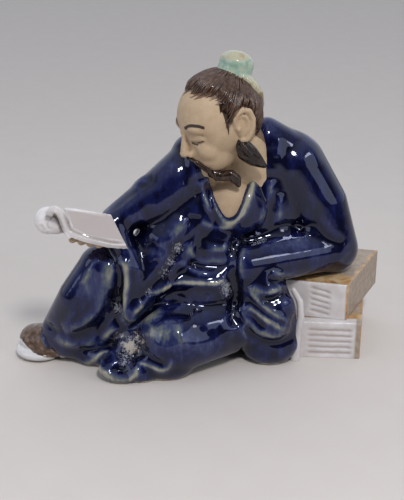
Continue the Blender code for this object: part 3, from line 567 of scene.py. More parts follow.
def inside_outline(places, outline):
    """How far inside an outline on the sketch plane each place lies, negative outside."""
    route = smooth_route(outline)
    gaps = np.linalg.norm(places[:, None, :] - route[None, :, :], axis=2).min(axis=1)
    closed = np.vstack([route, route[:1]])
    crossings = np.zeros(len(places), dtype=int)
    for (x0, y0), (x1, y1) in zip(closed, closed[1:]):
        spans = (y0 > places[:, 1]) != (y1 > places[:, 1])
        if y0 != y1:
            crossings += spans & (places[:, 0] < x0 + (places[:, 1] - y0) * (x1 - x0) / (y1 - y0))
    return np.where(crossings % 2 == 1, gaps, -gaps)


def smoothed(made, rounds):
    """Wipes the clay over, as with a wet sponge."""
    soften = made.modifiers.new("sponged", "SMOOTH")
    soften.factor = 0.5
    soften.iterations = rounds
    return applied(made)


robe = fuse("robe", robe_masses(), ROBE_GRAIN, ROBE_SMOOTHING)
chest_form = robe.data.copy()

# the opening of the collar, drawn from the left of the neck round the chest and back
COLLAR_OPENING = [
    (24, 42), (22, 35), (19, 25), (15.5, 15.6), (12, 13.2), (9, 14.5), (5, 22), (3, 31), (0, 40),
    (10, 46)
]
COLLAR_DEPTH = 2.6
robe_points, robe_normals = mesh_points(robe.data), mesh_normals(robe.data)
robe_flat, robe_eye = sketched(robe_points)
robe_seen = seen_from(robe_eye, robe_points, robe_normals, robe.data)
near_neck = np.all((robe_flat > (-4, 8)) & (robe_flat < (30, 50)), axis=1)
opening = np.full(len(robe_points), -9.0)
opening[near_neck] = inside_outline(robe_flat[near_neck], COLLAR_OPENING)
opening = np.where(robe_seen > 0, opening, -9)

folds = RIGHT_ARM_FOLDS + HANGING_SLEEVE_FOLDS + COLLAR_FOLDS + BELLY_FOLDS + LEFT_KNEE_FOLDS
folds += RIGHT_LEG_FOLDS + FOREARM_FOLDS + LEFT_SLEEVE_FOLDS
sunk = np.clip(opening / 0.9 + 0.3, 0, 1) * COLLAR_DEPTH
lift = fold_height(folds, robe_flat) * robe_seen - sunk
shift_points(robe.data, robe_points + robe_normals * lift[:, None])
tool_folds(robe, BACK_FOLDS, 180)
smoothed(robe, FOLD_SMOOTHING)

# the crests that the glaze has run off, as (how bare, width, line), and broad pale patches of painted
# reflection on the leg, the knee and the forearm
THIN_CRESTS_AND_SHEEN = [
    # collar and breast
    ridge(0.9, 1.1, (15, 13), (12, 11), (6.5, 9.6), (1.5, 11.2), (-0.5, 13)),
    ridge(0.45, 1.6, (26, 38), (22, 28), (18.6, 19), (15, 13)),
    ridge(0.5, 1.2, (-0.8, 30), (0.6, 23), (3.8, 15.5)),
    ridge(0.7, 1.4, (28.5, 30), (28.5, 25), (26.5, 18), (24, 10.5)),
    ridge(0.4, 1.6, (32.3, 24), (33, 17), (32.8, 11)),
    # sash and lap
    ridge(0.8, 1.4, (-6, 3.5), (-4.5, -1.5), (-1, -4.4), (4, -4.8), (10, -4.4), (13, -1)),
    ridge(0.9, 1.2, (2, 0.8), (8, 0.6), (13, 2)),
    ridge(0.5, 1.2, (-9, -4), (-5.5, -8), (0, -10.2), (6, -12)),
    ridge(1.1, 0.9, (-20, -19.5), (-14, -14.8), (-9, -13.8), (-2, -14), (4, -14.2), (10, -13.4)),
    ridge(0.4, 1.4, (-20, -24.5), (-13, -22.5), (-6, -22.8), (1, -22), (6, -20)),
    # inside of the right sleeve
    ridge(0.7, 2.0, (-6, 12), (-9, 8.6), (-14, 5.4)),
    ridge(0.5, 2.2, (-14, -0.5), (-18, 0.5), (-22, 0)),
    # edges of the hanging sleeve
    ridge(1.0, 1.1, (-35.5, -5), (-33, -6.5), (-32, -12), (-32.6, -20), (-33.5, -28), (-32.5, -32)),
    ridge(0.8, 1.2, (-33, -31), (-30.5, -33.3), (-27, -32), (-22, -28.5), (-16, -25.2)),
    ridge(0.5, 1.0, (-30, -28.5), (-26, -24), (-22, -19.5), (-18, -16.3)),
    # right leg
    ridge(0.6, 2.6, (-40, -4), (-40, -11), (-41, -19), (-45, -26.5)),
    ridge(0.45, 2.0, (-45, -26.5), (-51, -31), (-59, -33.5)),
    ridge(0.7, 1.4, (-62, -36), (-58, -39), (-52, -39.6)),
    ridge(0.7, 1.6, (-52, -39.6), (-46, -38.5), (-40, -35.5), (-36, -32)),
    ridge(0.6, 1.4, (-50, -42), (-44, -40.5), (-38, -37.5)),
    ridge(0.9, 1.1, *SHOE_HEM),
    ridge(0.8, 1.1, *UNDER_HEM),
    ridge(0.9, 1.0, (-28, -48), (-23, -48.6), (-18, -50.4), (-14.5, -49.8), (-12, -46)),
    # painted reflection: the broad pale panel on the leg and the broad patches over the knee
    ridge(0.6, 4.5, (-46, -8), (-48.5, -14), (-51.5, -21)),
    dab(0.8, 5.5, (-19, -34)),
    dab(0.6, 6.0, (-10, -38)),
    dab(0.35, 6.0, (2, -40)),
    # forearm and left sleeve; the two broad dabs on the forearm are painted reflection
    dab(0.45, 4.5, (33, 3.2)),
    dab(0.45, 4.5, (42, 4.2)),
    ridge(0.6, 1.1, (29, -10.2), (34, -10.3), (40, -10)),
    ridge(0.7, 1.3, (20.5, -15), (24, -17), (28, -17.8), (34, -16.5)),
    ridge(0.65, 1.2, (20, -15.5), (23, -21), (27.5, -25.5), (32, -28.5), (36.5, -30.5)),
    ridge(0.7, 1.1, (19.5, -23), (25.5, -28), (30.5, -31), (35.5, -34)),
    ridge(0.6, 2.0, (16, -23), (18.5, -29), (23, -34.5), (29, -36), (34.5, -35.6)),
    ridge(0.5, 1.2, (16.8, -31), (18.3, -36), (23, -40)),
]
set_attribute(robe.data, "bared_and_sheen", fold_height(THIN_CRESTS_AND_SHEEN, robe_flat) * robe_seen)

# where the glaze has crystallised in the hollows, and where it has crawled off the clay
CRYSTAL_POOLS = [
    dab(1.0, 3.0, (-10, 1)),
    dab(0.9, 2.6, (-13, -5)),
    dab(0.8, 3.0, (-16, -10)),
    dab(0.9, 2.4, (-22, -18)),
    dab(1.0, 3.0, (10, -15)),
    dab(0.7, 3.0, (11, -19)),
    dab(0.9, 3.5, (-35, -25)),
    dab(1.0, 4.5, (-31, -40)),
    dab(0.8, 3.0, (-33, -47)),
]
BARE_PATCHES = [dab(0.9, 3.6, (-30.5, -41)), dab(0.5, 2.6, (-27, -37)), dab(0.5, 2.4, (-36, -37))]
set_attribute(robe.data, "crystals", fold_height(CRYSTAL_POOLS, robe_flat) * robe_seen)
set_attribute(robe.data, "bare", fold_height(BARE_PATCHES, robe_flat) * robe_seen)


def cut_foot(made):
    """Cuts a piece flat where it stands on the table, and closes the cut."""
    work = bmesh.new()
    work.from_mesh(made.data)
    everything = list(work.verts) + list(work.edges) + list(work.faces)
    cut = bmesh.ops.bisect_plane(
        work, geom=everything, plane_co=(0, 0, 0), plane_no=(0, 0, 1), clear_inner=True
    )
    rim = [item for item in cut["geom_cut"] if isinstance(item, bmesh.types.BMEdge)]
    bmesh.ops.holes_fill(work, edges=rim)
    work.to_mesh(made.data)
    work.free()


cut_foot(robe)


def new_tree(name, *inputs):
    """A geometry node tree with a geometry in and out, and inputs of (name, socket type, value)."""
    tree = bpy.data.node_groups.new(name, "GeometryNodeTree")
    tree.interface.new_socket("Geometry", in_out="INPUT", socket_type="NodeSocketGeometry")
    tree.interface.new_socket("Geometry", in_out="OUTPUT", socket_type="NodeSocketGeometry")
    for title, kind, value in inputs:
        tree.interface.new_socket(title, in_out="INPUT", socket_type=kind).default_value = value
    return tree, tree.nodes.new("NodeGroupInput"), tree.nodes.new("NodeGroupOutput")


def grow(made, tree, **values):
    """Runs a geometry node tree on an object and keeps the result as its plain mesh."""
    run = made.modifiers.new(tree.name, "NODES")
    run.node_group = tree
    sockets = {item.name.replace(" ", "_").lower(): item.identifier for item in tree.interface.items_tree
               if item.item_type == "SOCKET" and item.in_out == "INPUT"}
    for title, value in values.items():
        run[sockets[title]] = value
    return applied(made)


def glaze_run_tree():
    """Stores how far each point stands out of its surroundings, which is where a glaze runs thin."""
    tree, start, end = new_tree(
        "glaze run",
        ("Near Spread", "NodeSocketInt", 8),
        ("Far Spread", "NodeSocketInt", 80),
    )
    nodes, links = tree.nodes, tree.links
    flow = start.outputs["Geometry"]
    for name, spread in (("crest", "Near Spread"), ("swell", "Far Spread")):
        place = nodes.new("GeometryNodeInputPosition")
        blur = nodes.new("GeometryNodeBlurAttribute")
        blur.data_type = "FLOAT_VECTOR"
        links.new(place.outputs[0], blur.inputs["Value"])
        links.new(start.outputs[spread], blur.inputs["Iterations"])
        rise = nodes.new("ShaderNodeVectorMath")
        rise.operation = "SUBTRACT"
        links.new(place.outputs[0], rise.inputs[0])
        links.new(blur.outputs[0], rise.inputs[1])
        facing = nodes.new("GeometryNodeInputNormal")
        outward = nodes.new("ShaderNodeVectorMath")
        outward.operation = "DOT_PRODUCT"
        links.new(rise.outputs[0], outward.inputs[0])
        links.new(facing.outputs[0], outward.inputs[1])
        size = nodes.new("ShaderNodeMath")
        size.operation = "MULTIPLY"
        size.inputs[1].default_value = 1 / MM
        links.new(outward.outputs["Value"], size.inputs[0])
        store = nodes.new("GeometryNodeStoreNamedAttribute")
        store.data_type = "FLOAT"
        store.domain = "POINT"
        store.inputs["Name"].default_value = name
        links.new(flow, store.inputs["Geometry"])
        links.new(size.outputs[0], store.inputs["Value"])
        flow = store.outputs["Geometry"]
    links.new(flow, end.inputs[0])
    return tree


glaze_run = glaze_run_tree()


def with_glaze_runs(made, near=6, far=30):
    """The piece, marked with where its glaze runs thin, close by and over broader swells; on bare clay and
    white glaze the same marks set where painted shade darkens the hollows.
    """
    return grow(made, glaze_run, near_spread=near, far_spread=far)


with_glaze_runs(robe, 8, 90)


class Recipe:
    """Mixes a glaze out of nodes: each step adds one node and gives back its output."""

    def __init__(self, name):
        self.material, self.nodes, self.links, self.shader = node_material(name)
        self.place = self.nodes.new("ShaderNodeTexCoord").outputs["Object"]

    def attribute(self, name):
        """A value that the piece's own points carry."""
        node = self.nodes.new("ShaderNodeAttribute")
        node.attribute_name = name
        return node.outputs["Fac"]

    def noise(self, grain, detail=3, rough=0.5, warp=0.0, stretch=(1, 1, 1)):
        """Noise whose grain is a size in millimetres."""
        node = self.nodes.new("ShaderNodeTexNoise")
        node.inputs["Scale"].default_value = 1 / (grain * MM)
        node.inputs["Detail"].default_value = detail
        node.inputs["Roughness"].default_value = rough
        node.inputs["Distortion"].default_value = warp
        stretched = self.nodes.new("ShaderNodeMapping")
        stretched.inputs["Scale"].default_value = stretch
        self.links.new(self.place, stretched.inputs["Vector"])
        self.links.new(stretched.outputs[0], node.inputs["Vector"])
        return node.outputs["Fac"]

    def math(self, operation, first, second):
        """A sum of two values, each a number or an output."""
        node = self.nodes.new("ShaderNodeMath")
        node.operation = operation
        for place, value in enumerate((first, second)):
            if isinstance(value, (int, float)):
                node.inputs[place].default_value = value
            elif value is not None:
                self.links.new(value, node.inputs[place])
        return node.outputs[0]

    def span(self, value, low, high, start=0.0, end=1.0):
        """Stretches a value between two levels to the range from start to end."""
        node = self.nodes.new("ShaderNodeMapRange")
        node.interpolation_type = "SMOOTHSTEP"
        for title, number in (("From Min", low), ("From Max", high), ("To Min", start), ("To Max", end)):
            node.inputs[title].default_value = number
        self.links.new(value, node.inputs["Value"])
        return node.outputs[0]

    def blend(self, share, first, second):
        """A colour between two others."""
        node = self.nodes.new("ShaderNodeMix")
        node.data_type = "RGBA"
        self.links.new(share, node.inputs["Factor"])
        for place, colour in ((6, first), (7, second)):
            if isinstance(colour, tuple):
                node.inputs[place].default_value = (*colour, 1)
            else:
                self.links.new(colour, node.inputs[place])
        return node.outputs["Result"]

    def ramp(self, value, *stops):
        """A colour read off a scale of (position, colour)."""
        node = self.nodes.new("ShaderNodeValToRGB")
        scale = node.color_ramp.elements
        while len(scale) < len(stops):
            scale.new(0.5)
        for mark, (place, colour) in zip(scale, stops):
            mark.position, mark.color = place, (*colour, 1)
        self.links.new(value, node.inputs["Fac"])
        return node.outputs["Color"]

    def relief(self, height, depth, onto=None):
        """A bump, its depth in millimetres."""
        node = self.nodes.new("ShaderNodeBump")
        node.inputs["Distance"].default_value = depth * MM
        self.links.new(height, node.inputs["Height"])
        if onto is not None:
            self.links.new(onto, node.inputs["Normal"])
        return node.outputs["Normal"]

    def height_above_table(self):
        """Height in metres."""
        parts = self.nodes.new("ShaderNodeSeparateXYZ")
        self.links.new(self.place, parts.inputs[0])
        return parts.outputs["Z"]

    def finish(self, colour, roughness, normal=None):
        """Ends in the material, of this colour, roughness and relief."""
        for title, value in (("Base Color", colour), ("Roughness", roughness), ("Normal", normal)):
            if isinstance(value, (int, float)):
                self.shader.inputs[title].default_value = value
            elif value is not None:
                self.links.new(value, self.shader.inputs[title])
        return self.material


def cobalt_glaze():
    glaze = Recipe("cobalt glaze")
    # how thin the glaze lies: on crests, on broad swells, and unevenly everywhere, with broad patches of
    # painted reflection mixed in with the bared crests
    crest = glaze.math("MULTIPLY", glaze.attribute("crest"), 0.7)
    bared_and_sheen = glaze.math("MULTIPLY", glaze.attribute("bared_and_sheen"), 0.5)
    swell = glaze.math("MULTIPLY", glaze.attribute("swell"), 0.07)
    thin = glaze.math("ADD", glaze.math("ADD", crest, bared_and_sheen), swell)
    cloud = glaze.span(glaze.noise(9, 3, 0.55, 0.4), 0.3, 0.7, -0.09, 0.09)
    streak = glaze.span(glaze.noise(2.2, 3, 0.6, 0.3, (1, 1, 0.3)), 0.3, 0.7, -0.08, 0.08)
    thin = glaze.math("ADD", glaze.math("ADD", thin, glaze.math("ADD", cloud, streak)), 0.3)
    blue = glaze.ramp(
        thin,
        (0.0, (0.0012, 0.0012, 0.006)),
        (0.3, (0.0022, 0.0024, 0.015)),
        (0.47, (0.006, 0.008, 0.05)),
        (0.62, (0.026, 0.034, 0.1)),
        (0.78, (0.095, 0.108, 0.115)),
        (1.0, (0.3, 0.285, 0.225)),
    )
    # crystals in the pools, and clay where the glaze crawled
    speck = glaze.noise(0.9, 6, 0.75)
    pools = glaze.attribute("crystals")
    speckled = glaze.span(glaze.math("ADD", speck, glaze.math("MULTIPLY", pools, 0.22)), 0.62, 0.78)
    speckled = glaze.math("MULTIPLY", speckled, glaze.span(pools, 0.1, 0.5))
    colour = glaze.blend(speckled, blue, (0.25, 0.255, 0.29))
    ragged = glaze.span(glaze.noise(2.5, 5, 0.7), 0.3, 0.7, -0.45, 0.45)
    bare = glaze.span(glaze.math("ADD", glaze.attribute("bare"), ragged), 0.4, 0.75)
    colour = glaze.blend(glaze.math("MULTIPLY", bare, 0.8), colour, (0.48, 0.42, 0.345))
    # the foot was wiped clean of glaze
    waver = glaze.span(glaze.noise(3, 2), 0.3, 0.7, -0.0004, 0.0004)
    foot = glaze.span(glaze.math("ADD", glaze.height_above_table(), waver), 0.0004, 0.0011, 1, 0)
    colour = glaze.blend(foot, colour, (0.52, 0.46, 0.38))
    dull = glaze.math("MAXIMUM", glaze.math("MULTIPLY", speckled, 0.35), glaze.math("MULTIPLY", bare, 0.3))
    dull = glaze.math("MAXIMUM", dull, glaze.math("MULTIPLY", foot, 0.6))
    roughness = glaze.math("ADD", dull, 0.06)
    pebbles = glaze.relief(glaze.noise(8, 2), 0.1)
    glaze.shader.inputs["IOR"].default_value = 1.58
    glaze.shader.inputs["Specular Tint"].default_value = (0.72, 0.77, 1, 1)
    grit = glaze.relief(speckled, 0.05, pebbles)
    return glaze.finish(colour, roughness, grit)


def dress(made, finish):
    """Gives a finished piece its material and its body, and hides the imported figurine."""
    made.data.materials.clear()
    made.data.materials.append(finish)
    made.data.shade_smooth()
    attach(made, "root")
    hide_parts("figurine")


dress(robe, cobalt_glaze())


# ---- Throat and chest ----
# Bare skin shows in the opening of the collar: the clay was left unglazed there, and washed with a thin tan
# slip.

SKIN = (0.5, 0.367, 0.24)
SKIN_SHADE = (0.45, 0.322, 0.202)
SKIN_CREASE_SHADE = (0.2, 0.12, 0.075)


def bare_skin():
    clay = Recipe("unglazed clay")
    mottle = clay.noise(4, 4, 0.6)
    colour = clay.blend(clay.span(mottle, 0.3, 0.7), SKIN_SHADE, SKIN)
    # painted shade: the creases and hollows of the clay are darkened
    hollow = clay.span(clay.attribute("crest"), -0.25, 0.1)
    colour = clay.blend(hollow, SKIN_CREASE_SHADE, colour)
    grit = clay.relief(clay.noise(0.5, 3, 0.6), 0.04)
    return clay.finish(colour, 0.6, grit)


skin_finish = bare_skin()


def patch_solid(name, mesh, keep, points, normals, top, bottom):
    """A plate cut from a skin: the faces whose corners are all kept, raised to top and sunk to bottom."""
    work = bmesh.new()
    used = {}
    corners = [p.vertices[:] for p in mesh.polygons if all(keep[v] for v in p.vertices)]
    for level in (top, bottom):
        for corner in {v for face in corners for v in face}:
            used[level, corner] = work.verts.new((points[corner] + normals[corner] * level) * MM)
    rim = {}
    for face in corners:
        work.faces.new([used[top, v] for v in face])
        work.faces.new([used[bottom, v] for v in reversed(face)])
        for one, two in zip(face, face[1:] + face[:1]):
            if (two, one) in rim:
                del rim[two, one]
            else:
                rim[one, two] = True
    for one, two in rim:
        work.faces.new([used[top, two], used[top, one], used[bottom, one], used[bottom, two]])
    return kept(name, work)


# the chest is cut from the robe's own form, before its folds and its foot were worked
chest = patch_solid("chest", chest_form, opening > -1.2, robe_points, robe_normals, -0.9, -3.5)
bpy.data.meshes.remove(chest_form)
dress(chest, skin_finish)


# ---- Head ----
# The head is modelled in the same bare clay, turned to its right and bowed over the book. The face is a calm
# one on plain proportions, with its brows, lashes and lips painted on before the firing.

HEAD_GRAIN = 0.4
HEAD = Vector((8, 0, 104))
FACE_TURN = 62
FACE_TILT = 15
SKULL = ((1.2, 0, 2.2), (17, 15.3, 17.4))


def strand(points, thickness, step):
    """A thin roll through points, thickest in its middle and drawn out at its ends."""
    count = len(points) - 1
    stations = []
    for place, point in enumerate(points):
        swell = 0.45 + 0.55 * math.sin(math.pi * place / count)
        stations.append((point, (thickness * swell,) * 3))
    return roll(*stations, step=step)


def both_sides(make, centre, *rest):
    """The same form on the left and the right of the face."""
    forward, side, up = centre
    return [make((forward, side, up), *rest), make((forward, -side, up), *rest)]


def head_masses():
    """The head without its features: skull, jaw, chin, brow and cheeks."""
    clay = [ball(*SKULL), ball((7, 0, -8), (10.6, 10.8, 12)), ball((12.4, 0, -16.6), (4.7, 5.4, 4))]
    clay += both_sides(ball, (10.4, 6, -6), (6, 5, 6))
    clay += both_sides(ball, (13.2, 4.4, 3.4), (4.6, 5.4, 3.4))
    return clay


# the rim of the ear and the fold inside it, each as (points, thickness, spacing of its balls)
EAR_RIM = (
    [(1.7, 15, 1.6), (2.0, 15.8, 4.6), (0.8, 16.7, 7.1), (-1.8, 17.4, 8.1), (-4.1, 17.7, 6.4),
     (-4.9, 17.6, 2.9), (-4.2, 17.2, -0.6), (-2.9, 16.5, -3.2), (-1.2, 15.8, -4.9), (0.3, 15, -4.6)],
    1.15,
    0.6,
)
EAR_FOLD = (
    [(0.2, 16, 5.6), (-2.2, 16.8, 5.2), (-3, 16.8, 2.6), (-2.4, 16.4, -0.4), (-1, 15.8, -2)], 0.75, 0.5
)


def feature_masses():
    """The nose and the ears."""
    bridge = ((16.6, 0, 3.4), (1.6, 1.8, 2)), ((18, 0, -2), (1.6, 1.5, 1.8)), ((19, 0, -6.2), (1.9, 1.9, 1.8))
    clay = roll(*bridge, step=0.8)
    clay += [ball((19.4, 0, -7), (1.9, 2.0, 1.7))] + both_sides(ball, (17.5, 2.4, -7.5), (1.7, 1.4, 1.4))
    for side in (1, -1):
        for line, thickness, step in (EAR_RIM, EAR_FOLD):
            stations = (((forward, out * side, up), (thickness,) * 3) for forward, out, up in line)
            clay += roll(*stations, step=step)
        clay += [
            ball((-1.2, 15.2 * side, 1.8), (3.4, 1.4, 6)),
            ball((1.3, 15.8 * side, 0.4), (0.9, 1.1, 1.3))
        ]
    return clay


# lines pressed into the face or raised on it, each as (points, width, height)
FACE_LINES = [
    # lips, the line between them, the groove above and the dent below
    (
        [(17, -3.2, -12.3), (18.2, -1.2, -11.9), (18.4, 0, -12.1), (18.2, 1.2, -11.9), (17, 3.2, -12.3)],
        0.75, 0.55
    ),
    ([(17, -2.6, -14), (18, 0, -14.4), (17, 2.6, -14)], 0.95, 0.65),
    ([(17, -3.7, -13), (18.4, 0, -13.1), (17, 3.7, -13)], 0.45, -0.6),
    ([(18.4, 0, -9.8), (18.3, 0, -11.2)], 0.6, -0.3),
    ([(17.4, -2, -16), (17.4, 2, -16)], 1.1, -0.4),
]
for side in (1, -1):
    FACE_LINES += [
        # eye socket, lid, crease over the lid, line of the lashes and lower lid
        ([(16.9, 2.8 * side, -0.6), (16.2, 6 * side, -0.4), (14.2, 9 * side, -0.8)], 2.6, -1.1),
        ([(17, 3.4 * side, -0.8), (16.3, 6 * side, -0.6), (14.4, 8.8 * side, -1)], 1.5, 1.0),
        ([(17, 3 * side, 1.2), (16.4, 6 * side, 1.9), (14.2, 9.2 * side, 1)], 0.6, -0.45),
        ([(17, 3 * side, -1.8), (16.3, 6 * side, -2.5), (14.4, 9 * side, -1.8)], 0.5, -0.5),
        ([(17, 3.6 * side, -3.2), (16.3, 6 * side, -3.9), (14.6, 8.6 * side, -3.2)], 0.9, 0.3),
        # nostril, crease beside the mouth
        ([(19, 1.1 * side, -8.8), (18.2, 1.7 * side, -8.9)], 0.5, -0.45),
        ([(17.6, 3.7 * side, -7.4), (16.8, 5 * side, -9.8), (16, 5.4 * side, -12)], 0.9, -0.3),
    ]

head_look = Euler((0, math.radians(FACE_TILT), math.radians(-90 - FACE_TURN))).to_matrix().to_4x4()
head_frame = Matrix.Translation(HEAD * MM) @ head_look


def in_head(point):
    """A point of the head's own axes (forward, to its left, up) in the part's, in millimetres."""
    return head_frame @ (Vector(point) * MM) / MM


def sight_line(u, v):
    """The eye, and the way it looks to see a point of the sketch plane."""
    eye = EYE_AIM + toward_eye * EYE_DISTANCE
    drawn = EYE_AIM + Vector((u, v * math.sin(EYE_RISE), v * math.cos(EYE_RISE)))
    return eye, (drawn - eye).normalized()


def line_height(points, lines, surface=None):
    """The height of lines drawn in space at points; painted lines are first laid on the surface."""
    total = np.zeros(len(points))
    for route, width, height in lines:
        route = smooth_route([in_head(point) for point in route])
        if surface is not None:
            route = np.array([surface.find_nearest(Vector(point))[0] for point in route])
        span = np.min(np.linalg.norm(points[:, None, :] - route[None, :, :], axis=2), axis=1)
        total += height * np.exp(-(span / width) ** 2)
    return total


def head_skin():
    form = fuse("head form", head_masses(), 0.5, 16)
    form.data.transform(head_frame)
    features = feature_masses()
    for piece in features:
        piece.data.transform(head_frame)
    neck = roll(((20, 9, 76), (12, 11.5, 12)), ((16, 5, 92), (10, 10, 11)))
    made = fuse("head", [form] + features + neck, HEAD_GRAIN, 5)
    points, normals = mesh_points(made.data), mesh_normals(made.data)
    shift_points(made.data, points + normals * line_height(points, FACE_LINES)[:, None])
    return made


head = head_skin()
brow_lines, lash_lines = [], []
for side in (1, -1):
    brow = [(18, 3 * side, 4.2), (17, 5.8 * side, 5.8), (15, 9 * side, 5.6), (13.6, 10.6 * side, 4.6)]
    brow_lines.append((brow, 0.8, 1.2))
    lash_lines.append(([(17.4, 3 * side, -1.9), (16.5, 6 * side, -2.5), (14.4, 9.2 * side, -1.7)], 0.42, 1.3))
lip_lines = [([(17.2, -3.6, -12.9), (18.6, 0, -13), (17.2, 3.6, -12.9)], 1.3, 1.0)]
painted_points = mesh_points(head.data)
head_surface = surface_of(head.data)
for name, lines in (("brow", brow_lines), ("lash", lash_lines), ("lips", lip_lines)):
    set_attribute(head.data, name, line_height(painted_points, lines, head_surface))
with_glaze_runs(head)


def painted_face():
    clay = Recipe("bare clay with painted brows")
    mottle = clay.noise(4, 4, 0.6)
    colour = clay.blend(clay.span(mottle, 0.3, 0.7), SKIN_SHADE, SKIN)
    # painted shade: the creases of the face are darkened
    hollow = clay.span(clay.attribute("crest"), -0.3, -0.02)
    colour = clay.blend(hollow, SKIN_CREASE_SHADE, colour)
    colour = clay.blend(clay.span(clay.attribute("lips"), 0.3, 1.0, 0, 0.45), colour, (0.36, 0.15, 0.1))
    hairs = clay.span(clay.noise(0.5, 3, 0.6, 0.2), 0.3, 0.7, -0.15, 0.15)
    brow = clay.span(clay.math("ADD", clay.attribute("brow"), hairs), 0.45, 0.75)
    colour = clay.blend(brow, colour, (0.035, 0.02, 0.014))
    lash = clay.span(clay.attribute("lash"), 0.45, 0.8)
    colour = clay.blend(lash, colour, (0.05, 0.028, 0.02))
    # strokes of thin slip that run out over the skin at the hairline
    strokes = clay.span(clay.attribute("wisps"), 0.25, 0.75, 0, 0.85)
    colour = clay.blend(strokes, colour, (0.1, 0.05, 0.03))
    grit = clay.relief(clay.noise(0.5, 3, 0.6), 0.04)
    return clay.finish(colour, 0.58, grit)


# ---- Hair ----
# The hair is combed back from a high forehead to the knot: a thin layer of clay, scored with a comb while
# soft, and painted with a glossy brown slip whose brush strokes run out in wisps at the hairline.

HAIR_THICKNESS = 1.1
HAIR_COLUMNS = 360
HAIR_ROWS = 80
HAIR_LOCKS = 54
KNOT_FOOT = Vector((12.6, 2.5, 121.5))
# how far the hair reaches from the knot, in degrees, at turns round the knot from the brow
COMB_TURNS = [-180, -150, -138, -128, -119, -112, -105, -97, -88, -79.5, -76, -68, -59, -49, -38, -25, -11, 0]
COMB_REACH = [100, 96, 88, 84, 83, 78, 66, 62, 63, 68, 97, 81, 69, 63, 64, 68, 71, 68]
skull_middle = in_head(SKULL[0])
knot_way = (KNOT_FOOT - skull_middle).normalized()
brow_way = (head_look @ Vector((1, 0, 0))).normalized()
comb_side = knot_way.cross(brow_way).normalized()
comb_front = comb_side.cross(knot_way).normalized()
skull_form = fuse("skull form", [ball(*SKULL), ball((-0.4, 0, 3.8), (15.4, 15.4, 15.8))], 0.8, 4)
skull_form.data.transform(head_frame)
scalp = surface_of(skull_form.data)
bpy.data.objects.remove(skull_form)


def hairline(turn):
    """How far the hair reaches from the knot, as an angle in degrees, at a turn round it from the brow."""
    return float(np.interp(-abs((turn + 180) % 360 - 180), COMB_TURNS, COMB_REACH))


def on_scalp(turn, reach, height):
    """The point at a height over the scalp, at a turn round the knot and an angle away from it."""
    turn, reach = math.radians(turn), math.radians(reach)
    aside = comb_front * math.cos(turn) + comb_side * math.sin(turn)
    way = knot_way * math.cos(reach) + aside * math.sin(reach)
    hit = scalp.ray_cast(skull_middle + way * 40, -way)[0]
    return hit + way * height


def hairline_wisps(points):
    """How strongly the brush marks each point of the skin, past the edge of the hair."""
    chance = np.random.default_rng(5)
    ways = points - np.array(skull_middle)
    ways /= np.linalg.norm(ways, axis=1)[:, None]
    reach = np.degrees(np.arccos(np.clip(ways @ np.array(knot_way), -1, 1)))
    turn = np.degrees(np.arctan2(ways @ np.array(comb_side), ways @ np.array(comb_front)))
    past = reach - np.interp(-np.abs(turn), COMB_TURNS, COMB_REACH)
    laid = turn + stroke_lean(turn) * np.clip(past, 0, 14)
    strokes = np.interp(laid, np.arange(0, 360, 2.2), chance.uniform(0, 1, 164), period=360)
    runs = np.interp(laid, np.arange(0, 360, 7), chance.uniform(5, 15, 52), period=360) * stroke_length(turn)
    return np.clip(0.5 + 2.2 * (strokes + 0.1 - np.clip(past, 0, None) / runs), 0, 1) * (past < runs)


def stroke_lean(turn):
    """How far a stroke turns for each degree past the hairline: it is combed aside over the forehead."""
    return np.interp(np.abs(turn), (0, 60, 80), (1.3, 1.0, 0.0)) * np.where(np.abs(turn) < 80, 1, 0)


def stroke_length(turn):
    """How long the strokes are at the temples and the nape, as a share of those over the forehead."""
    return np.interp(np.abs(turn), (55, 85, 100), (1.0, 0.9, 0.25))


set_attribute(head.data, "wisps", hairline_wisps(mesh_points(head.data)))
dress(head, painted_face())


def hair_layer():
    chance = np.random.default_rng(7)
    # the comb leaves broad locks with finer scores in them
    marks = np.linspace(0, HAIR_COLUMNS, HAIR_LOCKS, endpoint=False) + chance.uniform(-2, 2, HAIR_LOCKS)
    columns = np.arange(HAIR_COLUMNS)
    locks = np.interp(columns, marks, chance.uniform(-1, 1, HAIR_LOCKS), period=HAIR_COLUMNS)
    scores = chance.uniform(-1, 1, HAIR_COLUMNS)
    relief = 0.42 * locks + 0.1 * scores
    fray = np.interp(columns, columns[::3], chance.uniform(-1, 1, HAIR_COLUMNS // 3))
    work = bmesh.new()
    grid = {}
    for column in range(HAIR_COLUMNS):
        turn = 360 * column / HAIR_COLUMNS
        reach = hairline(turn) + 2.2 * fray[column]
        for row in range(HAIR_ROWS + 1):
            share = row / HAIR_ROWS
            edge = min(1.0, (1 - share) * 6)
            wave = 3.5 * math.sin(2.6 * share + 5 * locks[column] * 0.2)
            high = (HAIR_THICKNESS + relief[column] * min(1, 4 * share)) * edge ** 0.5 - 0.35 * (1 - edge)
            angle = 5 + (reach - 5) * share
            grid[column, row, 0] = work.verts.new(on_scalp(turn + wave, angle, high) * MM)
            grid[column, row, 1] = work.verts.new(on_scalp(turn + wave, angle, -1.4) * MM)
    for column in range(HAIR_COLUMNS):
        after = (column + 1) % HAIR_COLUMNS
        strips = [((row, layer), (row + 1, layer)) for row in range(HAIR_ROWS) for layer in (0, 1)]
        strips += [((HAIR_ROWS, 0), (HAIR_ROWS, 1)), ((0, 1), (0, 0))]
        for one, two in strips:
            work.faces.new([grid[column, *one], grid[column, *two], grid[after, *two], grid[after, *one]])
    bmesh.ops.recalc_face_normals(work, faces=work.faces)
    return kept("hair", work)


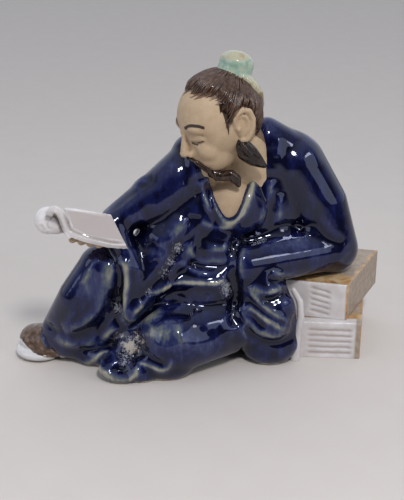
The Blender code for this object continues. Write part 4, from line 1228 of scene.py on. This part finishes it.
def brown_slip(name, shade):
    """Brown slip, darker the smaller its shade."""
    slip = Recipe(name)
    strokes = slip.noise(1.1, 3, 0.55, 0.3, (1, 1, 0.5))
    thin = slip.math("ADD", strokes, slip.math("MULTIPLY", slip.attribute("crest"), 0.6))
    tones = (
        (0.25, (0.012, 0.005, 0.003)),
        (0.5, (0.044, 0.02, 0.011)),
        (0.66, (0.12, 0.062, 0.038)),
        (0.82, (0.21, 0.12, 0.075)),
    )
    colour = slip.ramp(thin, *((place, tuple(shade * part for part in tone)) for place, tone in tones))
    return slip.finish(colour, 0.18, slip.relief(strokes, 0.08))


def thin_slip():
    slip = Recipe("thin brown slip")
    colour = slip.ramp(slip.noise(1.5, 3), (0.35, (0.035, 0.018, 0.012)), (0.65, (0.12, 0.062, 0.04)))
    return slip.finish(colour, 0.32)


thin_finish = thin_slip()
hair = with_glaze_runs(hair_layer())
dress(hair, brown_slip("brown slip", 1.0))


def combed_strands_tree():
    """Lays a tapering strand along each guide line, thickest in its middle, with a slight waver."""
    tree, start, end = new_tree(
        "combed strands",
        ("Thickness", "NodeSocketFloat", 0.0004),
        ("Waver", "NodeSocketFloat", 0.0003),
        ("Steps", "NodeSocketInt", 16),
        ("Sides", "NodeSocketInt", 5),
        ("Seed", "NodeSocketInt", 3),
    )
    nodes, links = tree.nodes, tree.links
    curves = nodes.new("GeometryNodeMeshToCurve")
    links.new(start.outputs["Geometry"], curves.inputs[0])
    even = nodes.new("GeometryNodeResampleCurve")
    links.new(curves.outputs[0], even.inputs["Curve"])
    links.new(start.outputs["Steps"], even.inputs["Count"])
    chance = nodes.new("ShaderNodeTexNoise")
    chance.noise_dimensions = "4D"
    chance.inputs["Scale"].default_value = 260
    links.new(start.outputs["Seed"], chance.inputs["W"])
    centred = nodes.new("ShaderNodeVectorMath")
    centred.operation = "SUBTRACT"
    centred.inputs[1].default_value = (0.5, 0.5, 0.5)
    links.new(chance.outputs["Color"], centred.inputs[0])
    drift = nodes.new("ShaderNodeVectorMath")
    drift.operation = "SCALE"
    links.new(centred.outputs[0], drift.inputs[0])
    links.new(start.outputs["Waver"], drift.inputs["Scale"])
    wavy = nodes.new("GeometryNodeSetPosition")
    links.new(even.outputs[0], wavy.inputs["Geometry"])
    links.new(drift.outputs[0], wavy.inputs["Offset"])
    along = nodes.new("GeometryNodeSplineParameter")
    taper = nodes.new("ShaderNodeFloatCurve")
    bend = taper.mapping.curves[0]
    bend.points[0].location = (0.0, 0.5)
    bend.points[1].location = (1.0, 0.05)
    bend.points.new(0.35, 1.0)
    bend.points.new(0.75, 0.62)
    taper.mapping.update()
    links.new(along.outputs["Factor"], taper.inputs["Value"])
    thick = nodes.new("ShaderNodeMath")
    thick.operation = "MULTIPLY"
    links.new(taper.outputs[0], thick.inputs[0])
    links.new(start.outputs["Thickness"], thick.inputs[1])
    profile = nodes.new("GeometryNodeCurvePrimitiveCircle")
    profile.inputs["Radius"].default_value = 1.0
    links.new(start.outputs["Sides"], profile.inputs["Resolution"])
    skin = nodes.new("GeometryNodeCurveToMesh")
    skin.inputs["Fill Caps"].default_value = True
    links.new(wavy.outputs[0], skin.inputs["Curve"])
    links.new(profile.outputs[0], skin.inputs["Profile Curve"])
    links.new(thick.outputs[0], skin.inputs["Scale"])
    whole = nodes.new("GeometryNodeRealizeInstances")
    links.new(skin.outputs[0], whole.inputs[0])
    finish = nodes.new("GeometryNodeSetMaterial")
    finish.inputs["Material"].default_value = thin_finish
    links.new(whole.outputs[0], finish.inputs["Geometry"])
    links.new(finish.outputs[0], end.inputs[0])
    return tree


def guide_lines(name, routes):
    """Lines through points, as the loose edges of a mesh."""
    made = bpy.data.objects.new(name, bpy.data.meshes.new(name))
    bpy.context.scene.collection.objects.link(made)
    points, edges = [], []
    for route in routes:
        first = len(points)
        points += [Vector(point) * MM for point in route]
        edges += [(place, place + 1) for place in range(first, len(points) - 1)]
    made.data.from_pydata(points, edges, [])
    return made


def hair_guides():
    chance = np.random.default_rng(11)
    routes = []
    full, thin = HAIR_THICKNESS + 0.15, 0.15
    for turn in np.arange(0, 360, 2.0):
        turn = turn + chance.uniform(-0.8, 0.8)
        reach = hairline(turn)
        top = reach * chance.uniform(0.15, 0.6)
        tip = reach + chance.uniform(0, 7) * (1 if abs((turn + 180) % 360 - 180) < 75 else 0.4)
        bend = chance.uniform(-4, 4)
        route = []
        for share in np.linspace(0, 1, 12):
            angle = top + (tip - top) * share
            high = np.interp(angle, [reach - 6, reach + 3, reach + 8], [full, thin, -0.2])
            aside = float(stroke_lean(turn if turn < 180 else turn - 360)) * max(0, angle - reach)
            wave = bend * share * share + 3.5 * math.sin(2.6 * angle / reach)
            route.append(on_scalp(turn - aside + wave, angle, high))
        routes.append(route)
    return guide_lines("hair_strands", routes)


strands_tree = combed_strands_tree()
hair_strands = grow(hair_guides(), strands_tree, thickness=0.00042, waver=0.0006, steps=18)
dress(hair_strands, thin_finish)


# ---- Sideburns, loose lock, moustache and beard ----
# These are rolls of soft clay, pinched to a point, scored along their length and painted with the same brown
# slip. Each sideburn is drawn as a line before the near ear, and repeated on the far side.

SIDEBURNS = [
    ([(10.4, 62), (10.3, 58), (10.6, 54.5), (11.1, 51.5), (11.3, 48.8)], 1.15),
    ([(8.8, 62.5), (9.1, 58.5), (10.0, 55), (10.6, 52.5)], 0.7),
    ([(7.6, 62), (7.7, 58.5), (8.2, 55.5)], 0.5),
    ([(12.6, 61.5), (12.0, 57.5), (11.6, 54)], 0.9),
]


def hair_rolls():
    clay = []
    for side in (1, -1):
        wing = [(18.5, 0.8 * side, -9.3), (17, 4 * side, -11), (14.2, 6.8 * side, -15), (12, 7.6 * side, -20)]
        clay += strand(wing, 1.2, step=0.4)
    for piece in clay:
        piece.data.transform(head_frame)
    # the sideburns hang in front of the ears in thin points
    for line, thickness in SIDEBURNS:
        near = [head_surface.ray_cast(*sight_line(u, v))[0] for u, v in line]
        into_head = (head_frame.inverted() @ (point * MM) / MM for point in near)
        far = [in_head((forward, -side, up)) for forward, side, up in into_head]
        for route in (near, far):
            count = len(route) - 1
            radii = [thickness * (1 - 0.75 * place / count) for place in range(count + 1)]
            clay += roll(*((point, (radius,) * 3) for point, radius in zip(route, radii)), step=0.4)
    clay += roll(
        ((1.5, -5.5, 86.5), (1.8, 1.8, 1.8)),
        ((4, -7.5, 84.2), (2.2, 2, 2.2)),
        ((8, -8.6, 82.8), (2.2, 2, 2.1)),
        ((11.5, -8.8, 83.4), (2.4, 2, 2.4)),
        ((13.8, -8.6, 81.6), (2.1, 1.8, 2.3)),
        ((14.8, -8.4, 79.2), (1.0, 1.0, 1.2)),
        step=0.5,
    )
    return fuse("moustache_and_beard", clay, 0.35, 3)


beard = with_glaze_runs(hair_rolls())
dress(beard, brown_slip("dark brown slip", 0.4))

# the loose lock is a leaf of clay below the ear, laid on the neck
LOCK = [
    ((15.2, -12, 99.5), (1.4, 1.3, 1.8)),
    ((16.4, -12, 96.6), (3.1, 2.2, 2.8)),
    ((18.1, -11.6, 93.5), (4.3, 2.7, 3.5)),
    ((20.6, -10.5, 90.8), (3.6, 2.4, 2.9)),
    ((23.2, -9.2, 88.6), (2.1, 1.8, 1.8)),
    ((25, -8.2, 87.2), (1.1, 1.0, 1.1)),
]
lock = fuse("loose_lock", roll(*LOCK, step=0.6), 0.35, 3)
tool_folds(lock, [
    ridge(-0.75, 0.5, (15.6, 49), (16.4, 44), (18.8, 40.6), (23, 38)),
    ridge(-0.75, 0.5, (16, 49), (18.2, 45), (21.5, 41.6), (25, 38.6)),
    ridge(-0.65, 0.5, (16.6, 48.6), (20, 46), (22.6, 43)),
    ridge(-0.6, 0.5, (15.4, 46), (15.4, 42.6), (17.4, 39.8)),
])
with_glaze_runs(lock)
dress(lock, brown_slip("darkest brown slip", 0.2))


# ---- Topknot ----
# The knot of hair is wrapped in cloth: a short drum with a domed top, and a cloth that falls behind the head.
# It is covered in a pale green celadon glaze that breaks to olive and tan on its edges.

KNOT_TOP = Vector((14.4, 3.4, 128.4))
KNOT_PROFILE = [
    (-0.5, 6.2), (-0.12, 7.2), (0.05, 7.5), (0.25, 7.1), (0.5, 6.9), (0.7, 7.0), (0.85, 6.8),
    (1.0, 6.2), (1.12, 5.4), (1.22, 4.3), (1.29, 3.0), (1.33, 1.6), (1.345, 0.4),
]
# the near edge of the cloth, as (turn round the knot, angle away from it)
CLOTH_EDGE = ((80, 12), (102, 24), (118, 33), (140, 42), (166, 54), (174, 84))


def celadon_glaze():
    glaze = Recipe("celadon glaze")
    crest = glaze.attribute("crest")
    cloud = glaze.noise(3.5, 3, 0.6)
    # the dome and the cloth below the knot are pale olive, and the sides of the knot are green
    level = glaze.height_above_table()
    dome = glaze.span(level, 0.1275, 0.1295)
    cloth = glaze.span(level, 0.1235, 0.1215)
    olive = glaze.math("MAXIMUM", dome, cloth)
    thin = glaze.math("ADD", glaze.math("MULTIPLY", crest, 1.1), glaze.span(cloud, 0.3, 0.7, 0.0, 0.42))
    thin = glaze.math("ADD", thin, glaze.math("MULTIPLY", olive, 0.42))
    thin = glaze.math("ADD", thin, glaze.span(level, 0.122, 0.112, 0, 0.25))
    colour = glaze.ramp(
        thin,
        (0.0, (0.2, 0.31, 0.24)),
        (0.25, (0.29, 0.4, 0.32)),
        (0.5, (0.4, 0.43, 0.33)),
        (0.8, (0.43, 0.38, 0.25)),
        (1.05, (0.22, 0.17, 0.09)),
    )
    return glaze.finish(colour, 0.12, glaze.relief(glaze.noise(2, 2), 0.15))


def skinned(name, rings):
    """A closed form stretched over rings of points."""
    work = bmesh.new()
    rings = [[work.verts.new(point) for point in ring] for ring in rings]
    for ring, after in zip(rings, rings[1:]):
        for one, two in zip(range(len(ring)), [*range(1, len(ring)), 0]):
            work.faces.new([ring[one], ring[two], after[two], after[one]])
    work.faces.new(rings[0][::-1])
    work.faces.new(rings[-1])
    bmesh.ops.recalc_face_normals(work, faces=work.faces)
    return kept(name, work)


def turned(profile, foot, top):
    """A closed form turned about the line from foot to top, through (share of the way up, radius) pairs."""
    columns = 72
    axis = (top - foot).normalized()
    across = axis.cross(Vector((0, 1, 0))).normalized()
    over = axis.cross(across)
    rings = []
    for share, radius in profile:
        middle = foot.lerp(top, share)
        turns = np.linspace(0, 2 * math.pi, columns, endpoint=False)
        ways = (across * math.cos(turn) + over * math.sin(turn) for turn in turns)
        rings.append([(middle + way * radius) * MM for way in ways])
    return skinned("turned", rings)


def topknot():
    clay = [turned(KNOT_PROFILE, KNOT_FOOT, KNOT_TOP)]
    # cloth that falls from the knot over the back of the head
    for share in np.linspace(0, 1, 7):
        route = [(np.interp(share, [0, 1], [turn, 200]), reach) for turn, reach in CLOTH_EDGE]
        stations = ((on_scalp(turn, reach, HAIR_THICKNESS + 0.4), (1.6, 1.6, 1.6)) for turn, reach in route)
        clay += roll(*stations, step=1)
    made = fuse("topknot", clay, 0.4, 3)
    tool_folds(made, [
        ridge(-0.5, 0.6, (20.2, 81), (20.8, 79), (20.2, 76.5)),
        ridge(-0.4, 0.6, (18.6, 80), (19.4, 78.5), (19.2, 76)),
        ridge(-0.4, 0.6, (9.2, 82), (8.6, 80.4), (8.8, 78.6)),
    ])
    return with_glaze_runs(made, 8, 40)


dress(topknot(), celadon_glaze())


# ---- Books under the arm ----
# Two stacked books of folded leaves: slabs of clay with the leaves scored in as lines, under a white glaze.
# Their covers are left in tan clay, with amber glaze run over the top and along the edges.

BOOK_GRAIN = 0.5
PAGE_LINE_CUT = {"line_width": 0.0009, "depth": 0.0005}
AMBER_ON_TOP, AMBER_ON_EDGE, AMBER_DOWN_EDGE = 13, 2.5, 1.9
LOWER_BOOK = {"corner": (68.2, -10, -2), "size": (44, 43, 19), "turns": (-4, 80)}
UPPER_BOOK = {"corner": (61.8, -7, 16.8), "size": (40, 43, 16.7), "turns": (-13, 64)}


def slab(corner, size, turns):
    """A box standing on its front right corner, with the turns of its front and its right side in degrees."""
    width, length, height = size
    front, side = (math.radians(turn) for turn in turns)
    bpy.ops.mesh.primitive_cube_add(size=1)
    made = bpy.context.object
    along_front = Vector((math.cos(front), math.sin(front), 0)) * width
    along_side = Vector((math.cos(side), math.sin(side), 0)) * length
    basis = Matrix((along_front, along_side, (0, 0, height))).transposed().to_4x4()
    made.data.transform(Matrix.Translation((-0.5, 0.5, 0.5)))
    made.data.transform(Matrix.Diagonal((MM, MM, MM, 1)) @ Matrix.Translation(corner) @ basis)
    return made


def page_lines_tree():
    """Scores evenly spaced lines into the front of a book."""
    tree, start, end = new_tree(
        "page lines",
        ("Front Corner", "NodeSocketVector", (0, 0, 0)),
        ("Along Front", "NodeSocketVector", (1, 0, 0)),
        ("Outward", "NodeSocketVector", (0, -1, 0)),
        ("First Line", "NodeSocketFloat", 0.002),
        ("Last Line", "NodeSocketFloat", 0.014),
        ("Spacing", "NodeSocketFloat", 0.0025),
        ("Line Width", "NodeSocketFloat", 0.0005),
        ("Depth", "NodeSocketFloat", 0.0004),
        ("From Corner", "NodeSocketFloat", 0.003),
        ("To", "NodeSocketFloat", 0.022),
        ("Slant", "NodeSocketFloat", 0.0),
    )
    nodes, links = tree.nodes, tree.links

    def dot(first, second):
        node = nodes.new("ShaderNodeVectorMath")
        node.operation = "DOT_PRODUCT"
        links.new(first, node.inputs[0])
        links.new(second, node.inputs[1])
        return node.outputs["Value"]

    def sum_of(operation, first, second=None):
        """A sum of one or two values, each a number or an output."""
        node = nodes.new("ShaderNodeMath")
        node.operation = operation
        for place, value in enumerate((first, second)):
            if isinstance(value, (int, float)):
                node.inputs[place].default_value = value
            elif value is not None:
                links.new(value, node.inputs[place])
        return node.outputs[0]

    def within(value, low, high, fade):
        """1 between two levels, fading to 0 outside them."""
        rise = sum_of("DIVIDE", sum_of("SUBTRACT", value, low), fade)
        fall = sum_of("DIVIDE", sum_of("SUBTRACT", high, value), fade)
        both = sum_of("MINIMUM", rise, fall)
        return sum_of("MINIMUM", sum_of("MAXIMUM", both, 0.0), 1.0)

    place = nodes.new("GeometryNodeInputPosition").outputs[0]
    offset = nodes.new("ShaderNodeVectorMath")
    offset.operation = "SUBTRACT"
    links.new(place, offset.inputs[0])
    links.new(start.outputs["Front Corner"], offset.inputs[1])
    along = sum_of("MULTIPLY", dot(offset.outputs[0], start.outputs["Along Front"]), -1.0)
    proud = dot(offset.outputs[0], start.outputs["Outward"])
    split = nodes.new("ShaderNodeSeparateXYZ")
    links.new(offset.outputs[0], split.inputs[0])
    waver = nodes.new("ShaderNodeTexNoise")
    waver.inputs["Scale"].default_value = 180
    links.new(place, waver.inputs["Vector"])
    drift = sum_of("MULTIPLY", sum_of("SUBTRACT", waver.outputs["Fac"], 0.5), 0.0009)
    level = sum_of("ADD", split.outputs["Z"], drift)
    level = sum_of("SUBTRACT", level, sum_of("MULTIPLY", along, start.outputs["Slant"]))
    steps = sum_of("DIVIDE", sum_of("SUBTRACT", level, start.outputs["First Line"]), start.outputs["Spacing"])
    off = sum_of("MULTIPLY", sum_of("SUBTRACT", steps, sum_of("ROUND", steps)), start.outputs["Spacing"])
    share = sum_of("DIVIDE", off, start.outputs["Line Width"])
    groove = sum_of("EXPONENT", sum_of("MULTIPLY", sum_of("MULTIPLY", share, share), -1.0))
    half = sum_of("MULTIPLY", start.outputs["Spacing"], 0.5)
    lowest = sum_of("SUBTRACT", start.outputs["First Line"], half)
    rows = within(level, lowest, sum_of("ADD", start.outputs["Last Line"], half), 0.0003)
    columns = within(along, start.outputs["From Corner"], start.outputs["To"], 0.002)
    front = within(proud, -0.0009, 0.002, 0.0003)
    amount = sum_of("MULTIPLY", sum_of("MULTIPLY", groove, rows), sum_of("MULTIPLY", columns, front))
    amount = sum_of("MULTIPLY", amount, start.outputs["Depth"])
    inward = nodes.new("ShaderNodeVectorMath")
    inward.operation = "SCALE"
    links.new(start.outputs["Outward"], inward.inputs[0])
    links.new(sum_of("MULTIPLY", amount, -1.0), inward.inputs["Scale"])
    scored = nodes.new("GeometryNodeSetPosition")
    links.new(start.outputs["Geometry"], scored.inputs["Geometry"])
    links.new(inward.outputs[0], scored.inputs["Offset"])
    links.new(scored.outputs[0], end.inputs[0])
    return tree


def white_glaze(name, thin, thick, page_shade_tone=None):
    """White glaze between two tones, with painted shade in its hollows, and a warmer, darker painted shade
    over a page.
    """
    glaze = Recipe(name)
    cloud = glaze.noise(6, 3, 0.5)
    colour = glaze.blend(glaze.span(cloud, 0.3, 0.7), thin, thick)
    # painted shade: the glaze is darkened in its hollows
    hollow = glaze.span(glaze.attribute("crest"), -0.25, 0.03)
    colour = glaze.blend(hollow, (0.4, 0.35, 0.33), colour)
    if page_shade_tone:
        # painted shade: the page that faces up is given a darker, warmer tone
        colour = glaze.blend(glaze.attribute("page"), colour, page_shade_tone)
        colour = glaze.blend(glaze.math("MULTIPLY", glaze.attribute("line"), 0.8), colour, (0.2, 0.15, 0.13))
    return glaze.finish(colour, 0.13, glaze.relief(glaze.noise(3, 2), 0.1))


def book_finish(name):
    """White glaze on the front, tan clay on the covers, and amber glaze where the two meet."""
    glaze = Recipe(name)
    cloud = glaze.noise(6, 3, 0.5)
    white = glaze.blend(glaze.span(cloud, 0.3, 0.7), (0.6, 0.555, 0.55), (0.7, 0.665, 0.665))
    # painted shade: the white is darkened in the hollows and the scored lines
    hollow = glaze.span(glaze.attribute("crest"), -0.16, 0.02)
    white = glaze.blend(hollow, (0.46, 0.4, 0.38), white)
    mottle = glaze.span(glaze.noise(2.5, 4, 0.6), 0.35, 0.65)
    tan = glaze.blend(mottle, (0.3, 0.232, 0.18), (0.39, 0.315, 0.25))
    run = glaze.noise(6, 3, 0.55, 0.8)
    amber = glaze.ramp(
        run,
        (0.32, (0.24, 0.105, 0.027)),
        (0.5, (0.46, 0.26, 0.1)),
        (0.68, (0.58, 0.43, 0.25)),
    )
    colour = glaze.blend(glaze.attribute("cover"), white, tan)
    edges = glaze.math("ADD", glaze.attribute("amber"), glaze.span(run, 0.3, 0.7, -0.16, 0.16))
    amber_share = glaze.span(edges, 0.25, 0.6)
    colour = glaze.blend(amber_share, colour, amber)
    unglazed = glaze.math("MULTIPLY", glaze.attribute("cover"), glaze.math("SUBTRACT", 1.0, amber_share))
    roughness = glaze.math("ADD", glaze.math("MULTIPLY", unglazed, 0.45), 0.13)
    return glaze.finish(colour, roughness, glaze.relief(glaze.noise(2.5, 3), 0.1))


def make_book(name, corner, size, turns, white_over, bare_edge, lines):
    """A book, its front glazed white as far as its bare edge, and a little way over its top edge too."""
    made = fuse(name, [slab(corner, size, turns)], BOOK_GRAIN, 3)
    front, side = (math.radians(turn) for turn in turns)
    corner = Vector(corner)
    along = Vector((math.cos(front), math.sin(front), 0))
    outward = Vector((math.sin(front), -math.cos(front), 0))
    cover_way = Vector((math.sin(side), -math.cos(side), 0))
    place = dict(front_corner=corner * MM, along_front=along, outward=outward)
    grow(made, page_lines, **place, **PAGE_LINE_CUT, **lines)
    if corner.z < 0:
        cut_foot(made)
    with_glaze_runs(made, 6, 40)
    points, normals = mesh_points(made.data), mesh_normals(made.data)
    facing, siding, rising = normals @ np.array(outward), normals @ np.array(cover_way), normals[:, 2]
    from_front = -(points - np.array(corner)) @ np.array(outward)
    from_side = -(points - np.array(corner)) @ np.array(cover_way)
    upward = np.clip((rising - 0.35) / 0.3, 0, 1)
    bare_top = upward * np.clip((from_front - white_over) / 0.8 + 0.5, 0, 1)
    bare_side = np.clip((np.maximum(siding, -facing) - 0.55) / 0.2, 0, 1)
    bare_front = np.clip((bare_edge - from_side) / 0.8 + 0.5, 0, 1)
    set_attribute(made.data, "cover", np.maximum(bare_top, np.maximum(bare_side, bare_front)))
    # amber lies along the front of the top, along the top's outer edge and down the outer edge of the front
    along_front = bare_top * 0.75 * np.exp(-(from_front / AMBER_ON_TOP) ** 2)
    along_side = bare_top * 0.6 * np.exp(-(from_side / AMBER_ON_EDGE) ** 2)
    down_edge = 0.7 * np.exp(-(from_front / AMBER_DOWN_EDGE) ** 2) * np.clip((siding - 0.3) / 0.3, 0, 1)
    set_attribute(made.data, "amber", np.maximum(np.maximum(along_front, along_side), down_edge))
    return made


page_lines = page_lines_tree()
book_glazes = book_finish("glazes of the books")
LOWER_LINES = dict(first_line=0.0045, last_line=0.0155, spacing=0.0027, from_corner=0.003, to=0.0235)
lower_book = make_book("lower_book", **LOWER_BOOK, white_over=4.5, bare_edge=2.4, lines=LOWER_LINES)
dress(lower_book, book_glazes)
UPPER_LINES = dict(
    first_line=0.0005, last_line=0.0115, spacing=0.0026, from_corner=0.0065, to=0.0165, slant=0.22
)
upper_book = make_book("upper_book", **UPPER_BOOK, white_over=0.8, bare_edge=0.5, lines=UPPER_LINES)
dress(upper_book, book_glazes)

# the white lip of glazed clay where the hanging sleeve meets the books
LIP = [
    ((38.5, -10, 33), (1.2, 1.2, 1.2)),
    ((41.2, -10.8, 28), (1.5, 1.5, 1.5)),
    ((41.9, -11.2, 21), (1.6, 1.6, 1.6)),
    ((40.8, -10.8, 13), (1.6, 1.6, 1.6)),
    ((40.2, -10.6, 6), (2, 1.7, 2)),
    ((40.2, -10.6, 0), (2.2, 1.8, 2)),
]
lip = fuse("sleeve_lip", roll(*LIP, step=0.8), 0.4, 3)
cut_foot(lip)
with_glaze_runs(lip)
dress(lip, white_glaze("white glaze", (0.56, 0.52, 0.51), (0.66, 0.625, 0.63)))


# ---- Book in the hand ----
# The open book is a bent slab of white glazed clay: the page that faces up, and the half that is rolled up at
# its left end. It lies on the right hand, of which the fingers show below it in bare clay.

PAGE_CORNER = Vector((-29.5, -29, 59.5))
PAGE_THICKNESS = 2.9
PAGE_DEPTH = 14
CURL_DEPTH = 4.5
# the front edge of the page and its back edge, and the edge of the curl, all drawn as the eye sees them
PAGE_FRONT = [(-31.8, 1.1), (-38.2, 1.5), (-44.5, 2.8), (-50.4, 4.4), (-56, 6.7)]
PAGE_BACK = [(-38.4, 14.3), (-43, 15), (-48.6, 15.8), (-53.6, 16.5), (-58.8, 17)]
CURL_EDGE = [
    (-55.2, 5.4), (-56.9, 7.4), (-58.3, 10.6), (-59.4, 13.6),
    (-60.6, 16), (-62.2, 17.2), (-63.9, 16.6), (-64.8, 14.6),
]
PAGE_OUTLINE = [
    (-57.4, 17), (-48, 15.8), (-39, 14.6), (-35.6, 9), (-32.6, 3.8),
    (-38.2, 4.2), (-43.4, 5.2), (-49.6, 7), (-54.6, 9.4),
]
PAGE_TURN, PAGE_LEAN = math.radians(8), math.radians(22)
page_front_way = Matrix.Rotation(PAGE_LEAN, 3, "X") @ Vector((math.sin(PAGE_TURN), math.cos(PAGE_TURN), 0))


def behind_page_front(u, v, depth):
    """The point that the eye sees at a point of the sketch, a little behind the page's front edge."""
    eye, sight = sight_line(u, v)
    place = PAGE_CORNER + page_front_way * depth
    return eye + sight * ((place - eye).dot(page_front_way) / sight.dot(page_front_way))


def bent_sheet(front_edge, back_edge, depth):
    """A thick sheet stretched between two lines of the sketch, the second one further back."""
    rows = 80
    share = np.linspace(0, 1, rows)
    lines = []
    for edge, back in ((front_edge, 0), (back_edge, depth)):
        route = smooth_route([behind_page_front(u, v, back) for u, v in edge])
        marks = np.linspace(0, 1, len(route))
        lines.append(np.stack([np.interp(share, marks, part) for part in route.T], axis=1))
    rings = []
    for front, back, along in zip(*lines, np.gradient(lines[0], axis=0)):
        front, back = Vector(front), Vector(back)
        half = Vector(along).cross(back - front).normalized() * PAGE_THICKNESS / 2
        rings.append([corner * MM for corner in (front - half, front + half, back + half, back - half)])
    return skinned("sheet", rings)


# the dark lines of the held book: the edge of its upper leaf, and the curl at the end of the roll
PAGE_LINES = [
    ridge(
        -1.1, 0.6, (-58.3, 17.2), (-57, 12), (-54.9, 8.5), (-49.5, 6.2), (-42.6, 4.5), (-38.2, 3.5),
        (-32.2, 3)
    ),
    ridge(-1.0, 0.55, (-64.4, 13), (-62.6, 14.3), (-60.9, 12.4), (-59.4, 9), (-58.4, 6.6)),
]


def held_book():
    clay = [bent_sheet(PAGE_FRONT, PAGE_BACK, PAGE_DEPTH), bent_sheet(CURL_EDGE, CURL_EDGE, CURL_DEPTH)]
    # the half that is rolled up behind the curl
    clay += roll(
        (behind_page_front(-65.4, 12.6, 4.8), (5.4, 4.8, 5.6)),
        (behind_page_front(-61.8, 12.2, 4.8), (5, 4.5, 5.3)),
        (behind_page_front(-61.5, 12.4, 11), (5, 4.6, 5)),
    )
    made = fuse("held_book", clay, 0.35, 2)
    tool_folds(made, PAGE_LINES + [
        # the hollow of the page and its raised far edge
        dab(-0.5, 6, (-47, 11)),
        ridge(0.45, 0.7, (-58, 17.4), (-48, 16.4), (-38.4, 14.9)),
        # scores in the roll
        ridge(-0.6, 0.6, (-68.2, 11), (-67.8, 9), (-66, 8.4)),
        ridge(-0.6, 0.6, (-66, 12), (-65.4, 9.6), (-63.5, 8.4)),
    ])
    flat = sketched(mesh_points(made.data))[0]
    # painted shade: the page that faces up is marked to be painted darker and warmer than the rest of the
    # white
    facing_up = np.clip((mesh_normals(made.data)[:, 2] - 0.5) / 0.25, 0, 1)
    on_page = np.clip(inside_outline(flat, PAGE_OUTLINE) / 0.8 + 0.5, 0, 1)
    set_attribute(made.data, "page", on_page * facing_up)
    facing_eye = np.clip(mesh_normals(made.data) @ np.array(toward_eye) * 4, 0, 1)
    set_attribute(made.data, "line", np.clip(-fold_height(PAGE_LINES, flat), 0, 1) * facing_eye)
    return with_glaze_runs(made, 6, 40)


# painted light: the held book's white is lighter than the lip's white, for the light it catches
lit_held_glaze = white_glaze(
    "white glaze of the held book", (0.66, 0.62, 0.62), (0.76, 0.73, 0.735), page_shade_tone=(0.44, 0.385, 0.365))
dress(held_book(), lit_held_glaze)


def hand():
    clay = roll(((-38, -12, 61.5), (4.5, 5.5, 3.6)), ((-41, -15, 60.5), (4.5, 6, 3.2)))
    # the fingers, closed round the back of the book
    for reach, level in ((-41, 58.8), (-44.5, 59.2), (-48, 60), (-51.5, 61)):
        clay += roll(
            ((reach + 4, -14, 60), (1.9, 2.2, 2)),
            ((reach + 1, -19.5, level), (1.8, 2, 1.8)),
            ((reach, -23, level + 0.4), (1.6, 1.7, 1.6)),
            step=0.8,
        )
    made = fuse("hand", clay, 0.4, 3)
    return with_glaze_runs(made)


dress(hand(), skin_finish)


# ---- Shoe ----
# A soft cloth shoe shows under the hem: a brown painted upper on a thick white sole.

UPPER_OUTLINE = [
    (-60, -46), (-66, -45.5), (-70.5, -44), (-74, -41), (-76.5, -38),
    (-78.5, -35.5), (-78, -33), (-70, -30), (-60, -30),
]


def shoe_finish():
    glaze = Recipe("painted shoe")
    ragged = glaze.span(glaze.noise(1.5, 3), 0.3, 0.7, -0.12, 0.12)
    rim = glaze.math("ADD", glaze.attribute("upper"), ragged)
    brown = glaze.ramp(
        glaze.noise(2.5, 4, 0.6),
        (0.3, (0.05, 0.027, 0.017)),
        (0.55, (0.12, 0.072, 0.048)),
        (0.72, (0.24, 0.165, 0.12)),
    )
    colour = glaze.blend(glaze.span(rim, 0.42, 0.58), (0.66, 0.645, 0.645), brown)
    return glaze.finish(colour, 0.16, glaze.relief(glaze.noise(2, 2), 0.1))


def shoe():
    clay = roll(((-60, -7, 8), (8, 8, 8)), ((-73, -4, 7), (6.5, 8, 6)))
    clay += [ball((-70, -5, 3), (11, 10.2, 4), (0, 0, 12))]
    made = fuse("shoe", clay, 0.4, 4)
    tool_folds(made, [ridge(-0.6, 0.5, (-79, -37), (-75.5, -41.3), (-70, -44), (-64, -45))])
    cut_foot(made)
    flat = sketched(mesh_points(made.data))[0]
    set_attribute(made.data, "upper", np.clip(inside_outline(flat, UPPER_OUTLINE) / 1.2 + 0.5, 0, 1))
    return made


dress(shoe(), shoe_finish())
